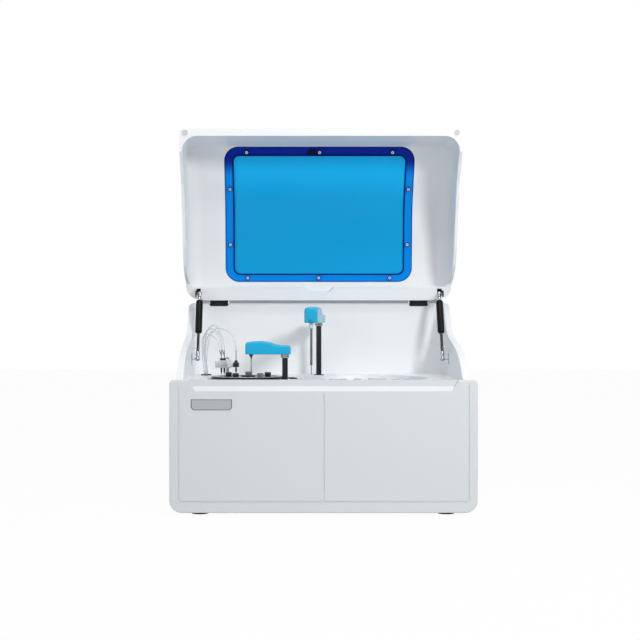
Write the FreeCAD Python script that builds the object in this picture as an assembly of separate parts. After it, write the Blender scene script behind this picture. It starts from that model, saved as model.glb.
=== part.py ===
"""Benchtop chemistry analyzer with its hinged lid open, in millimetres.

X is to the right, Y to the rear, Z up. The origin is on the bench, at the centre of the footprint.
Depths are written as distances behind the front face, and back() turns them into Y.
"""
import FreeCAD, Part
import math
import os

Vector = FreeCAD.Vector
X_AXIS = Vector(1, 0, 0)
Y_AXIS = Vector(0, 1, 0)
Z_AXIS = Vector(0, 0, 1)

# Overall body
WIDTH = 780.0
DEPTH = 560.0
FOOT_HEIGHT = 9.0
LIP_TOP = 345.0
HOUSING_TOP = 546.0
FLAT_GAP = 0.3
RUNNING_GAP = 0.05

# Front cover
COVER_WALL = 3.5
COVER_RETURN = 30.0
RETURN_FLANGE = 4.0
COVER_LOW_RADIUS = 32.0
COVER_TOP_RADIUS = 10.0
COVER_EDGE_RADIUS = 3.0
SCOOP_TOP_HALF = 343.0
SCOOP_LOW_HALF = 325.0
SCOOP_HEIGHT = 28.0
SCOOP_SLOPE = 12.0
SCOOP_DEPTH = 10.0
GROOVE_WIDTH = 4.5
GROOVE_DEPTH = 1.8
GROOVE_INSET = 22.5
GROOVE_BOTTOM = 37.0
SIDE_GROOVE_TOP = 331.0
MIDDLE_GROOVE_TOP = 309.0

# Badge plate
BADGE_WIDTH = 104.0
BADGE_HEIGHT = 27.5
BADGE_X = -283.5
BADGE_Z = 283.0
BADGE_PROUD = 1.0
BADGE_SEAT = 1.0
BADGE_CHAMFER = 6.0

# Side covers
SIDE_HALF = 377.0
WING_WALL = 17.0
SIDE_SKIN = 3.0
SIDE_START = 24.0
WING_START = 50.0
CORNER_RELIEF = 1.0
PILLAR_FRONT = 485.0
WING_CURVE = ((106, 380), (163, 407), (250, 429), (340, 446), (395, 466), (430, 499), (462, 534))
SHOULDER_RADIUS = 13.0

# Deck and base
DECK_TOP = 340.0
DECK_THICK = 4.0
DECK_START = 16.0
TRAY_THICK = 3.0
TRAY_FLANGE = 25.0
BACK_PANEL = 504.0
BACK_WALL = 4.0
BACK_CORNER = 34.0
REAR_COVER = 545.0
REAR_SHEET = 3.0
FOOT_RADIUS = 23.0
FOOT_TAPER = 1.5
FOOT_X = 316.0
FOOT_INSET = 60.0
POST_SIZE = 20.0
RAIL_HEIGHT = 20.0
RAIL_WIDTH = 14.0

# Lid, drawn shut and then turned open about its hinge
LID_OPEN = 84.0
HINGE_BACK = 505.0
HINGE_Z = 551.0
LID_HALF = 387.0
LID_WALL = 8.0
LID_SKIN = 7.0
LID_REAR = 500.0
LID_RIM_Z = 347.5
LID_RIM_FRONT = 14.0
LID_RIM_WIDTH = 19.0
LID_BROW = (56.0, 497.0)
LID_CREST = (235.0, 570.0)
LID_TAIL = (462.0, 566.0)
BROW_RADIUS = 16.0
CREST_RADIUS = 160.0
LID_LOW_EDGE = ((452, 548), (445, 530), (425, 490), (395, 458), (340, 436), (250, 420), (163, 398), (106, 370))
LID_LOW_START = 75.0
LID_GAP = 2.0
LID_CORNER = 40.0
LID_EDGE_RADIUS = 12.0
LID_INNER_RADIUS = 40.0
BEAM_HALF = 357.0
BEAM_FRONT = 464.0
BEAM_LOW = 527.0
BEAM_CORNER = 32.0
NOTCH_TOP_HALF = 43.0
NOTCH_LOW_HALF = 29.0
NOTCH_DEPTH = 13.0
RIM_CORNER = 20.0
BUMPER_RADIUS = 7.5

# Window sheet and its screws
WINDOW_HALF = 270.0
WINDOW_FRONT = 60.0
WINDOW_REAR = 449.0
WINDOW_THICK = 5.0
WINDOW_CORNER = 40.0
WINDOW_BORDER = 25.0
SCREW_HEAD = 4.0
SCREW_HEAD_HEIGHT = 2.4
SCREW_SHANK = 1.5
SCREW_INSET = 12.0

# Hinges
HINGE_X = 291.5
HINGE_LENGTH = 55.0
HINGE_LEAF = 2.0
HINGE_DROP = 14.0
KNUCKLE_RADIUS = 4.0
PIN_RADIUS = 2.0
KNUCKLE_MIDDLE = 24.0
LEAF_RISE = 14.0

# Gas struts, as (distance behind the front face, height) of their ball centres
STRUT_X = 343.0
STRUT_LOW = (345.0, 388.0)
STRUT_HIGH = (430.0, 572.0)
STRUT_TUBE_RADIUS = 9.0
STRUT_TUBE_LENGTH = 108.0
STRUT_ROD_RADIUS = 4.0
STRUT_ROD_SHORT = 76.0
STRUT_END_RADIUS = 5.5
STRUT_END_LENGTH = 16.0
BALL_RADIUS = 6.5
STUD_RADIUS = 3.0
STUD_PLATE = 2.0
STUD_PLATE_SIZE = 30.0
UPPER_STUD = 9.0
EAR_THICK = 3.0
EAR_FRONT = 468.0
EAR_LENGTH = 17.0
EAR_LOW = 470.0

# Reaction disc
REACTION_X = -196.0
REACTION_BACK = 173.0
REACTION_RADIUS = 98.0
CUVETTE_RING = 84.0
CUVETTES = 40
CUVETTE_SIZE = 8.0
CUVETTE_WALL = 0.9
CUVETTE_HEIGHT = 39.0
DISC_THICK = 4.0
DISC_LIFT = 3.0
BATH_GAP = 6.0
BATH_WALL = 3.0
BATH_DEPTH = 48.0
BATH_FLANGE = 4.0
KNOB_RING = 55.0
KNOB_RADIUS = 8.0
KNOB_HEIGHT = 15.0
KNOB_ANGLES = (-125, -53, 19, 91, 163)
HUB_RADIUS = 18.0

# Sample and reagent disc
REAGENT_X = 118.0
REAGENT_BACK = 205.0
REAGENT_RADIUS = 166.0
REAGENT_WELL = 172.0
SAMPLE_RING = 146.2
SAMPLES = 24
CUP_RADIUS = 8.0
CUP_WALL = 1.2
CUP_HEIGHT = 38.0
CUP_LIP = 1.0
BOTTLES = 12
BOTTLE_INNER = 62.0
BOTTLE_OUTER = 128.0
BOTTLE_RING = 109.8
BOTTLE_HEIGHT = 60.0
BOTTLE_MOUTH = 11.0
BOTTLE_CAP = 12.0
TUB_DEPTH = 102.0
TUB_WALL = 3.0
TRAY_DROP = 20.0

# Arms
ARM_WIDTH = 36.0
ARM_NOSE = 15.0
COLUMN_RADIUS = 7.5
COLLAR_RADIUS = 10.5
COLLAR_HEIGHT = 9.0
GUIDE_RADIUS = 14.0
GUIDE_LENGTH = 110.0
WHEEL_RADIUS = 18.0
WHEEL_HEIGHT = 12.0
DRIVE_OFFSET = 42.0
DRIVE_SIZE = 42.0
DRIVE_HEIGHT = 48.0
MIXER_REACH = 88.0
MIXER_CUVETTE = -83.0
MIXER_LOW = 408.0
MIXER_HUMP = 34.5
PROBE_X = -2.0
PROBE_BACK = 420.0
PROBE_REACH = 230.0
PROBE_LOW = 489.0
PROBE_HUMP = 44.0
ARM_TAIL = 24.0
NEEDLE_TIP = 351.0
NEEDLE_RADIUS = 1.0
ARM_STROKE = 40.0

# Wash wells
MIXER_WELL_TURN = -105.0
PROBE_WELL_TURN = -13.6
WELL_RADIUS = 8.0
WELL_BORE = 6.0
WELL_LOW = 300.0
WELL_RISE = 3.0

# Wash head
WASH_ANGLES = (151.0, 142.0, 115.0)
WASH_TOP = 415.0
WASH_NEEDLE = 1.2
WASH_BLOCK_LOW = 368.0
WASH_BLOCK_TOP = 388.0
WASH_STROKE = 18.0
WASH_POST_RADIUS = 5.0
WASH_POST_X = -257.0
WASH_POST_BACK = 292.0
WASH_POST_TOP = 394.0
TUBE_RADIUS = 1.5
GROMMET_RADIUS = 15.0
GROMMET_X = -322.0
GROMMET_BACK = 392.0

# Inside the base
MOTOR_SIZE = 42.0
MOTOR_HEIGHT = 46.0
SHAFT_RADIUS = 4.0
SYRINGE_X = 322.0
SYRINGE_BACK = 330.0
SYRINGE_RADIUS = 9.0
SYRINGE_BORE = 6.5
SYRINGE_LOW = 150.0
SYRINGE_HEIGHT = 80.0
SYRINGE_PITCH = 34.0
SYRINGE_STROKE = 40.0
FAN_X = 285.0
FAN_Z = 120.0
FAN_SIZE = 92.0
FAN_THICK = 25.0
FAN_RADIUS = 42.0
INLET_X = -310.0
INLET_Z = 70.0
PORT_X = (-60.0, -20.0, 20.0)
PORT_Z = 110.0
NIPPLE_RADIUS = 4.0
PORT_COLLAR = 2.0


def back(distance):
    """Y of a place this far behind the front face."""
    return distance - DEPTH / 2


def save(name, *shapes):
    """Write one node: its solids, fused into none of the others."""
    shape = shapes[0] if len(shapes) == 1 else Part.makeCompound(list(shapes))
    os.makedirs("parts", exist_ok=True)
    shape.exportStep(f"parts/{name}.step")
    print(f"{name}: {len(shape.Solids)} solids, {shape.Volume / 1000:.1f} cm3, valid {shape.isValid()}")


def box(x0, x1, s0, s1, z0, z1):
    """Block between two X values, two distances behind the front face and two heights."""
    return Part.makeBox(x1 - x0, s1 - s0, z1 - z0, Vector(x0, back(s0), z0))


def post(x, s, z0, z1, radius):
    """Upright cylinder."""
    return Part.makeCylinder(radius, z1 - z0, Vector(x, back(s), z0), Z_AXIS)


def along(start, end, radius):
    """Cylinder from one point to another."""
    return Part.makeCylinder(radius, (end - start).Length, start, end - start)


def united(shapes):
    """One solid of several that touch or overlap."""
    return shapes[0].multiFuse(list(shapes[1:])).removeSplitter()


def corner_arc(before, corner, after, radius):
    """Where a corner's tangent arc starts, its middle and its end."""
    one = (before - corner).normalize()
    two = (after - corner).normalize()
    half = one.getAngle(two) / 2
    reach = radius / math.tan(half)
    middle = corner + (one + two).normalize() * (radius / math.sin(half) - radius)
    return corner + one * reach, middle, corner + two * reach


def path_edges(points, radii, closed):
    """Straight runs joined by tangent arcs through the points."""
    count = len(points)
    ends = []
    for i, corner in enumerate(points):
        inner = closed or 0 < i < count - 1
        if inner and radii[i] > 0:
            ends.append(corner_arc(points[i - 1], corner, points[(i + 1) % count], radii[i]))
        else:
            ends.append((corner, None, corner))
    edges = []
    for i in range(count):
        if ends[i][1] is not None:
            edges.append(Part.Arc(*ends[i]).toShape())
        last = i == count - 1
        if last and not closed:
            break
        start, end = ends[i][2], ends[(i + 1) % count][0]
        if (end - start).Length > 1e-6:
            edges.append(Part.LineSegment(start, end).toShape())
    return edges


def face_through(points, radii=None):
    """Flat face whose outline has straight runs and tangent arcs."""
    return Part.Face(Part.Wire(path_edges(points, radii or [0] * len(points), True)))


def side_prism(outline, x0, x1, radii=None):
    """Outline of (distance behind the front, height) points, carried across from x0 to x1."""
    face = face_through([Vector(x0, back(s), z) for s, z in outline], radii)
    return face.extrude(Vector(x1 - x0, 0, 0))


def front_prism(outline, s0, s1, radii=None):
    """Outline of (X, height) points, carried back from s0 to s1."""
    face = face_through([Vector(x, back(s0), z) for x, z in outline], radii)
    return face.extrude(Vector(0, s1 - s0, 0))


def plan_prism(outline, z0, z1, radii=None):
    """Outline of (X, distance behind the front) points, carried up from z0 to z1."""
    face = face_through([Vector(x, back(s), z0) for x, s in outline], radii)
    return face.extrude(Vector(0, 0, z1 - z0))


def mirrored(shape):
    """The same piece on the other side of the middle."""
    return shape.mirror(Vector(0, 0, 0), X_AXIS)


def polar(x, s, radius, angle):
    """Point (X, distance behind the front) at an angle from +X about a centre."""
    turn = math.radians(angle)
    return x + radius * math.cos(turn), s + radius * math.sin(turn)


def circle_meeting(x, s, radius, far_x, far_s, far_radius, side):
    """Angle at which an arm turning about (x, s) reaches a ring about another centre."""
    gap = math.hypot(far_x - x, far_s - s)
    cosine = (radius ** 2 + gap ** 2 - far_radius ** 2) / (2 * radius * gap)
    direct = math.degrees(math.atan2(far_s - s, far_x - x))
    return direct + side * math.degrees(math.acos(cosine))


# Places that follow from the sizes above
half_width = WIDTH / 2
tray_low = FOOT_HEIGHT
tray_top = FOOT_HEIGHT + TRAY_THICK
wing_inner = SIDE_HALF - WING_WALL
side_inner = SIDE_HALF - SIDE_SKIN
deck_low = DECK_TOP - DECK_THICK
disc_low = DECK_TOP + DISC_LIFT
disc_top = disc_low + DISC_THICK
pitch = 360.0 / CUVETTES
sample_pitch = 360.0 / SAMPLES
mixer_tip = polar(REACTION_X, REACTION_BACK, CUVETTE_RING, MIXER_CUVETTE)
mixer_place = (mixer_tip[0] + MIXER_REACH, mixer_tip[1])
probe_place = (PROBE_X, PROBE_BACK)
probe_rest = circle_meeting(*probe_place, PROBE_REACH, REAGENT_X, REAGENT_BACK, SAMPLE_RING, -1)
probe_tip = polar(*probe_place, PROBE_REACH, probe_rest)
sample_phase = math.degrees(math.atan2(probe_tip[1] - REAGENT_BACK, probe_tip[0] - REAGENT_X))
bottle_aim = circle_meeting(*probe_place, PROBE_REACH, REAGENT_X, REAGENT_BACK, BOTTLE_RING, -1)
bottle_tip = polar(*probe_place, PROBE_REACH, bottle_aim)
bottle_phase = math.degrees(math.atan2(bottle_tip[1] - REAGENT_BACK, bottle_tip[0] - REAGENT_X))


def base_parts():
    """Steel tray on four rubber feet, and the frame that carries the deck."""
    rear = REAR_COVER
    tray = box(-side_inner, side_inner, COVER_RETURN, rear, tray_low, tray_top)
    flange_top = tray_top + TRAY_FLANGE
    left = box(-side_inner, -side_inner + TRAY_THICK, COVER_RETURN, rear, tray_top, flange_top)
    tray = united([tray, left, mirrored(left)])
    save("base_tray", tray)

    feet = []
    for x in (-FOOT_X, FOOT_X):
        for s in (FOOT_INSET, DEPTH - FOOT_INSET):
            low = FOOT_RADIUS - FOOT_TAPER
            feet.append(Part.makeCone(low, FOOT_RADIUS, FOOT_HEIGHT, Vector(x, back(s), 0), Z_AXIS))
    save("rubber_feet", *feet)

    frame = []
    post_x = side_inner - TRAY_THICK
    rear_post = BACK_PANEL - POST_SIZE
    for s, rail_start in ((COVER_RETURN, DECK_START), (rear_post, BACK_PANEL - RAIL_WIDTH)):
        corner = box(-post_x, -post_x + POST_SIZE, s, s + POST_SIZE, tray_top, deck_low)
        frame += [corner, mirrored(corner)]
        frame.append(box(-post_x, post_x, rail_start, rail_start + RAIL_WIDTH, deck_low - RAIL_HEIGHT, deck_low))
    wing = box(wing_inner, post_x + TRAY_THICK, 0, DEPTH, deck_low - RAIL_HEIGHT - WING_WALL, HOUSING_TOP)
    save("deck_frame", united(frame).cut(wing).cut(mirrored(wing)))


def front_cover():
    """One moulded shell with a scoop in its top edge and shallow decorative grooves."""
    low = tray_low
    corners = ((-half_width, low), (half_width, low), (half_width, LIP_TOP), (-half_width, LIP_TOP))
    radii = (COVER_LOW_RADIUS, COVER_LOW_RADIUS, COVER_TOP_RADIUS, COVER_TOP_RADIUS)
    shell = front_prism(corners, 0, COVER_RETURN, radii)
    front = back(0)
    edges = [e for e in shell.Edges if abs(e.BoundBox.YMax - front) < 1e-6]
    shell = shell.makeFillet(COVER_EDGE_RADIUS, edges)

    wall = COVER_WALL
    inside = [(x - math.copysign(wall, x), z + (wall if z == low else -wall)) for x, z in corners]
    hollow = front_prism(inside, wall, COVER_RETURN - RETURN_FLANGE, [r - wall for r in radii])
    scoop_low = LIP_TOP - SCOOP_HEIGHT
    shelf = scoop_low + SCOOP_SLOPE
    behind = SCOOP_DEPTH + wall
    backing = side_prism(
        ((0, scoop_low - wall), (wall, scoop_low - wall), (behind, shelf - wall), (behind, LIP_TOP), (0, LIP_TOP)),
        -SCOOP_TOP_HALF - wall, SCOOP_TOP_HALF + wall)
    hollow = hollow.cut(backing)
    mouth = box(-SIDE_HALF, SIDE_HALF, COVER_RETURN - RETURN_FLANGE, COVER_RETURN,
                low + wall, LIP_TOP - wall)
    shell = shell.cut(hollow).cut(mouth)

    bite = side_prism(
        ((-1, scoop_low - 1), (0, scoop_low), (SCOOP_DEPTH, shelf), (SCOOP_DEPTH, LIP_TOP + 1), (-1, LIP_TOP + 1)),
        -half_width, half_width)
    span = front_prism(
        ((-SCOOP_LOW_HALF, scoop_low - 1), (SCOOP_LOW_HALF, scoop_low - 1),
         (SCOOP_TOP_HALF, LIP_TOP + 1), (-SCOOP_TOP_HALF, LIP_TOP + 1)), -1, SCOOP_DEPTH)
    shell = shell.cut(bite.common(span))

    side = half_width - GROOVE_INSET
    grooves = [groove(-side, SIDE_GROOVE_TOP), groove(0, MIDDLE_GROOVE_TOP), groove(side, SIDE_GROOVE_TOP)]
    grooves.append(box(-side, side, -1, GROOVE_DEPTH,
                       GROOVE_BOTTOM - GROOVE_WIDTH / 2, GROOVE_BOTTOM + GROOVE_WIDTH / 2))
    shell = shell.cut(united(grooves))

    seat = front_prism(badge_outline(), -1, BADGE_SEAT)
    save("front_cover", shell.cut(seat))
    save("badge_plate", front_prism(badge_outline(), -BADGE_PROUD, BADGE_SEAT))


def groove(x, top):
    """Upright groove with round ends."""
    half = GROOVE_WIDTH / 2
    ends = [Part.makeCylinder(half, 1 + GROOVE_DEPTH, Vector(x, back(-1), z), Y_AXIS)
            for z in (GROOVE_BOTTOM, top - half)]
    run = box(x - half, x + half, -1, GROOVE_DEPTH, GROOVE_BOTTOM, top - half)
    return united([run] + ends)


def badge_outline():
    """Plate with its two lower corners cut off, as (X, height) points."""
    x0, x1 = BADGE_X - BADGE_WIDTH / 2, BADGE_X + BADGE_WIDTH / 2
    z0, z1 = BADGE_Z - BADGE_HEIGHT / 2, BADGE_Z + BADGE_HEIGHT / 2
    cut = BADGE_CHAMFER
    return ((x0 + cut, z0), (x1 - cut, z0), (x1, z0 + cut), (x1, z1), (x0, z1), (x0, z0 + cut))


def wing_edges(x):
    """Top edge of the side cover from the deck's front to the housing top, as a smooth curve."""
    points = [Vector(x, back(s), z)
              for s, z in ((WING_START, DECK_TOP),) + WING_CURVE + ((PILLAR_FRONT, HOUSING_TOP),)]
    curve = Part.BSplineCurve()
    curve.interpolate(points)
    return curve.toShape(), points


def side_covers():
    """Two moulded side covers, thin below the deck and boxed above it."""
    x = SIDE_HALF
    curve, points = wing_edges(x)
    low = tray_low
    corners = [points[-1], Vector(x, back(DEPTH), HOUSING_TOP), Vector(x, back(DEPTH), low),
               Vector(x, back(SIDE_START), low), Vector(x, back(SIDE_START), DECK_TOP), points[0]]
    runs = [Part.LineSegment(a, b).toShape() for a, b in zip(corners[:-1], corners[1:])]
    cover = Part.Face(Part.Wire([curve] + runs)).extrude(Vector(-WING_WALL, 0, 0))
    top_edge = [e for e in cover.Edges
                if abs(e.BoundBox.ZMin - HOUSING_TOP) < 1e-6 and abs(e.BoundBox.XMin - x) < 1e-6]
    cover = cover.makeFillet(SHOULDER_RADIUS, top_edge)
    sill = deck_low - RAIL_HEIGHT - WING_WALL
    pocket = box(wing_inner - 1, side_inner, SIDE_START - 1, DEPTH - 1, low - 1, sill)
    cover = cover.cut(pocket)
    return_low = low + COVER_WALL
    cover = cover.cut(box(0, half_width, SIDE_START - 1, COVER_RETURN, low - 1, return_low))
    cover = cover.cut(box(0, half_width, SIDE_START - 1, COVER_RETURN - RETURN_FLANGE,
                          low - 1, LIP_TOP))
    cover = cover.cut(box(x - CORNER_RELIEF, x + 1, WING_START, WING_START + 16, LIP_TOP + 0.5, LIP_TOP + 7))
    save("right_side_cover", cover)
    save("left_side_cover", mirrored(cover))


def well_places():
    """Centres of the wash wells under the mixer and under the probe."""
    return (polar(*mixer_place, MIXER_REACH, 180 + MIXER_WELL_TURN),
            polar(*probe_place, PROBE_REACH, probe_rest + PROBE_WELL_TURN))


def deck_and_back():
    """Deck plate with its openings, the inner back panel with its top, and the rear sheet."""
    rear = BACK_PANEL
    deck = box(-wing_inner, wing_inner, DECK_START, rear, deck_low, DECK_TOP)
    holes = [post(REACTION_X, REACTION_BACK, 0, LIP_TOP, REACTION_RADIUS + BATH_GAP),
             post(REAGENT_X, REAGENT_BACK, 0, LIP_TOP, REAGENT_WELL),
             post(WASH_POST_X, WASH_POST_BACK, 0, LIP_TOP, WASH_POST_RADIUS),
             post(GROMMET_X, GROMMET_BACK, 0, LIP_TOP, GROMMET_RADIUS - 3)]
    holes += [post(x, s, 0, LIP_TOP, GUIDE_RADIUS) for x, s in (mixer_place, probe_place)]
    holes += [post(x, s, 0, LIP_TOP, WELL_RADIUS) for x, s in well_places()]
    for hole in holes:
        deck = deck.cut(hole)
    save("deck_plate", deck)

    x, r = wing_inner, BACK_CORNER
    wall = box(-x, x, rear, rear + BACK_WALL, deck_low - RAIL_HEIGHT, HOUSING_TOP)
    corner = box(x - r, x, rear - r, rear, DECK_TOP, HOUSING_TOP).cut(post(x - r, rear - r, 0, LID_RIM_Z + 400, r))
    top = box(-x, x, rear, DEPTH, HOUSING_TOP - BACK_WALL, HOUSING_TOP)
    save("back_panel", united([wall, corner, mirrored(corner), top]))

    sheet = box(-side_inner, side_inner, REAR_COVER, REAR_COVER + REAR_SHEET, tray_low, HOUSING_TOP - BACK_WALL)
    wings = box(wing_inner, half_width, 0, DEPTH, deck_low - RAIL_HEIGHT - WING_WALL, HOUSING_TOP)
    sheet = sheet.cut(wings).cut(mirrored(wings))
    cuts = [Part.makeCylinder(FAN_RADIUS, DEPTH, Vector(FAN_X, back(0), FAN_Z), Y_AXIS)]
    cuts.append(box(INLET_X - 24, INLET_X + 24, REAR_COVER - 1, DEPTH, INLET_Z - 14, INLET_Z + 14))
    cuts += [Part.makeCylinder(NIPPLE_RADIUS, DEPTH, Vector(x, back(0), PORT_Z), Y_AXIS) for x in PORT_X]
    for row in range(6):
        z = 380 + 18 * row
        for x0 in (-300, 140):
            cuts.append(box(x0, x0 + 160, REAR_COVER - 1, DEPTH, z, z + 6))
    sheet = sheet.cut(Part.makeCompound(cuts))
    save("rear_cover", sheet)


def lid_inner():
    """Inner face of the shut lid from the front rim to the rear beam, with its corner radii."""
    points = ((LID_RIM_FRONT + LID_RIM_WIDTH, LID_RIM_Z), LID_BROW, LID_CREST, LID_TAIL)
    return points, (0, BROW_RADIUS, CREST_RADIUS, 0)


def parallel(points, distance):
    """The same run of straight lines, moved outwards by a distance."""
    lines = []
    for (s0, z0), (s1, z1) in zip(points[:-1], points[1:]):
        length = math.hypot(s1 - s0, z1 - z0)
        ds, dz = -(z1 - z0) / length * distance, (s1 - s0) / length * distance
        lines.append(((s0 + ds, z0 + dz), (s1 + ds, z1 + dz)))
    moved = [lines[0][0]]
    for one, two in zip(lines[:-1], lines[1:]):
        moved.append(crossing(one, two))
    moved.append(lines[-1][1])
    return moved


def crossing(one, two):
    """Where two straight lines, each given by two points, meet."""
    (x1, y1), (x2, y2) = one
    (x3, y3), (x4, y4) = two
    under = (x1 - x2) * (y3 - y4) - (y1 - y2) * (x3 - x4)
    a = x1 * y2 - y1 * x2
    b = x3 * y4 - y3 * x4
    return (a * (x3 - x4) - (x1 - x2) * b) / under, (a * (y3 - y4) - (y1 - y2) * b) / under


def opened(shape):
    """Turn a piece of the shut lid to where the open lid holds it."""
    turned = shape.copy()
    turned.rotate(Vector(0, back(HINGE_BACK), HINGE_Z), X_AXIS, -LID_OPEN)
    return turned


def lid_shell():
    """Moulded shell of the shut lid, thicker at its rim and over its rear beam."""
    inner, radii = lid_inner()
    outer = parallel(inner, LID_SKIN)
    fall = (outer[3][1] - outer[2][1]) / (outer[3][0] - outer[2][0])
    top_rear = outer[3][1] + fall * (LID_REAR - outer[3][0])
    pillar_top = HOUSING_TOP + LID_GAP
    skin = [(LID_RIM_FRONT, LID_RIM_Z), outer[1], outer[2], (LID_REAR, top_rear)]
    outline = skin + [(LID_REAR, pillar_top)] + list(LID_LOW_EDGE) + [(LID_LOW_START, LID_RIM_Z)]
    outer_radii = [0, BROW_RADIUS + LID_SKIN, CREST_RADIUS + LID_SKIN] + [0] * (len(outline) - 3)
    shell = side_prism(outline, -LID_HALF, LID_HALF, outer_radii)
    shell = shell.makeFillet(LID_EDGE_RADIUS, edges_along(shell, skin, LID_HALF))

    inner_half = LID_HALF - LID_WALL
    (s0, z0), (s1, z1) = inner[:2]
    below = (s0 - (s1 - s0), z0 - (z1 - z0))
    cavity = side_prism([below] + list(inner[1:]) + [(inner[3][0], below[1])], -inner_half, inner_half,
                        [0] + list(radii[1:]) + [0])
    cavity = cavity.makeFillet(LID_INNER_RADIUS, edges_along(cavity, [below] + list(inner[1:]), inner_half))
    shell = shell.cut(cavity)

    plan = ((-BEAM_HALF, BEAM_FRONT), (BEAM_HALF, BEAM_FRONT), (BEAM_HALF, LID_REAR), (-BEAM_HALF, LID_REAR))
    beam = plan_prism(plan, BEAM_LOW, pillar_top + 4, (0, 0, BEAM_CORNER, BEAM_CORNER))
    shell = united([shell, beam])
    far = BEAM_FRONT + NOTCH_DEPTH
    notch = plan_prism(((-NOTCH_TOP_HALF, BEAM_FRONT - 3), (NOTCH_TOP_HALF, BEAM_FRONT - 3),
                        (NOTCH_LOW_HALF, far), (-NOTCH_LOW_HALF, far)), BEAM_LOW - 1, LID_TAIL[1] - 1)
    shell = shell.cut(notch)
    corner = box(LID_HALF - LID_CORNER, LID_HALF + 1, LID_REAR - LID_CORNER, LID_REAR + 1,
                 BEAM_LOW, top_rear + 40)
    corner = corner.cut(post(LID_HALF - LID_CORNER, LID_REAR - LID_CORNER, 0, top_rear + 90, LID_CORNER))
    shell = shell.cut(corner).cut(mirrored(corner))
    edge = LID_RIM_FRONT + LID_RIM_WIDTH
    gusset = plan_prism(((inner_half + 1, edge - 1), (inner_half - RIM_CORNER, edge - 1),
                         (inner_half + 1, edge + RIM_CORNER)), LID_RIM_Z, LID_RIM_Z + LID_SKIN)
    shell = united([shell, gusset, mirrored(gusset)])
    return shell.cut(window_block(WINDOW_BORDER))


def edges_along(shape, line, half_width_here):
    """Edges on both side faces that follow a run of (distance behind the front, height) points."""
    chosen = []
    for edge in shape.Edges:
        middle = edge.valueAt((edge.FirstParameter + edge.LastParameter) / 2)
        if abs(abs(middle.x) - half_width_here) > 1e-3 or edge.BoundBox.XLength > 1e-3:
            continue
        for (s0, z0), (s1, z1) in zip(line[:-1], line[1:]):
            run = Vector(0, s1 - s0, z1 - z0)
            off = Vector(0, middle.y - back(s0), middle.z - z0)
            share = off.dot(run) / run.Length ** 2
            if 0 <= share <= 1 and (off - run * share).Length < 6:
                chosen.append(edge)
                break
    return chosen


def lid_parts():
    """Lid shell, its window sheet and screws, and the two rim bumpers, opened."""
    save("lid_shell", opened(lid_shell()))

    inner, _ = lid_inner()
    under = parallel(inner, -WINDOW_THICK)
    band_radii = [0, BROW_RADIUS, CREST_RADIUS, 0, 0, CREST_RADIUS - WINDOW_THICK, BROW_RADIUS - WINDOW_THICK, 0]
    band = side_prism(list(inner) + under[::-1], -WINDOW_HALF, WINDOW_HALF, band_radii)
    save("lid_window", opened(band.common(window_block(0))))
    save("window_screws", *[opened(screw) for screw in window_screws()])

    bumper = post(LID_HALF - LID_WALL - 8, LID_RIM_FRONT + LID_RIM_WIDTH / 2,
                  LIP_TOP + FLAT_GAP, LID_RIM_Z, BUMPER_RADIUS)
    save("lid_bumpers", opened(bumper), opened(mirrored(bumper)))


def window_block(border):
    """Tall upright block with round corners in the window's plan, less a border all round."""
    half = WINDOW_HALF - border
    plan = ((-half, WINDOW_FRONT + border), (half, WINDOW_FRONT + border),
            (half, WINDOW_REAR - border), (-half, WINDOW_REAR - border))
    radius = max(WINDOW_CORNER - border, 8)
    return plan_prism(plan, LID_RIM_Z, HOUSING_TOP + 100, [radius] * 4)


def inner_height(s):
    """Height and slope of the lid's inner face, ignoring its corner arcs."""
    inner, _ = lid_inner()
    for (s0, z0), (s1, z1) in zip(inner[:-1], inner[1:]):
        if s <= s1:
            return z0 + (z1 - z0) * (s - s0) / (s1 - s0), math.atan2(z1 - z0, s1 - s0)
    return inner[-1][1], 0.0


def window_screws():
    """Ten pan-head screws through the window's border into the shell."""
    span = WINDOW_REAR - WINDOW_FRONT
    side_x = WINDOW_HALF - SCREW_INSET
    places = [(x, s) for s in (WINDOW_FRONT + SCREW_INSET, WINDOW_REAR - SCREW_INSET)
              for x in (-0.77 * WINDOW_HALF, 0, 0.77 * WINDOW_HALF)]
    places += [(x, WINDOW_FRONT + share * span) for x in (-side_x, side_x) for share in (0.30, 0.72)]
    screws = []
    for x, s in places:
        z, slope = inner_height(s)
        down = Vector(0, math.sin(slope), -math.cos(slope))
        seat = Vector(x, back(s), z) + down * WINDOW_THICK
        head = along(seat, seat + down * SCREW_HEAD_HEIGHT, SCREW_HEAD)
        screws.append(head)
    return screws


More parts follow.
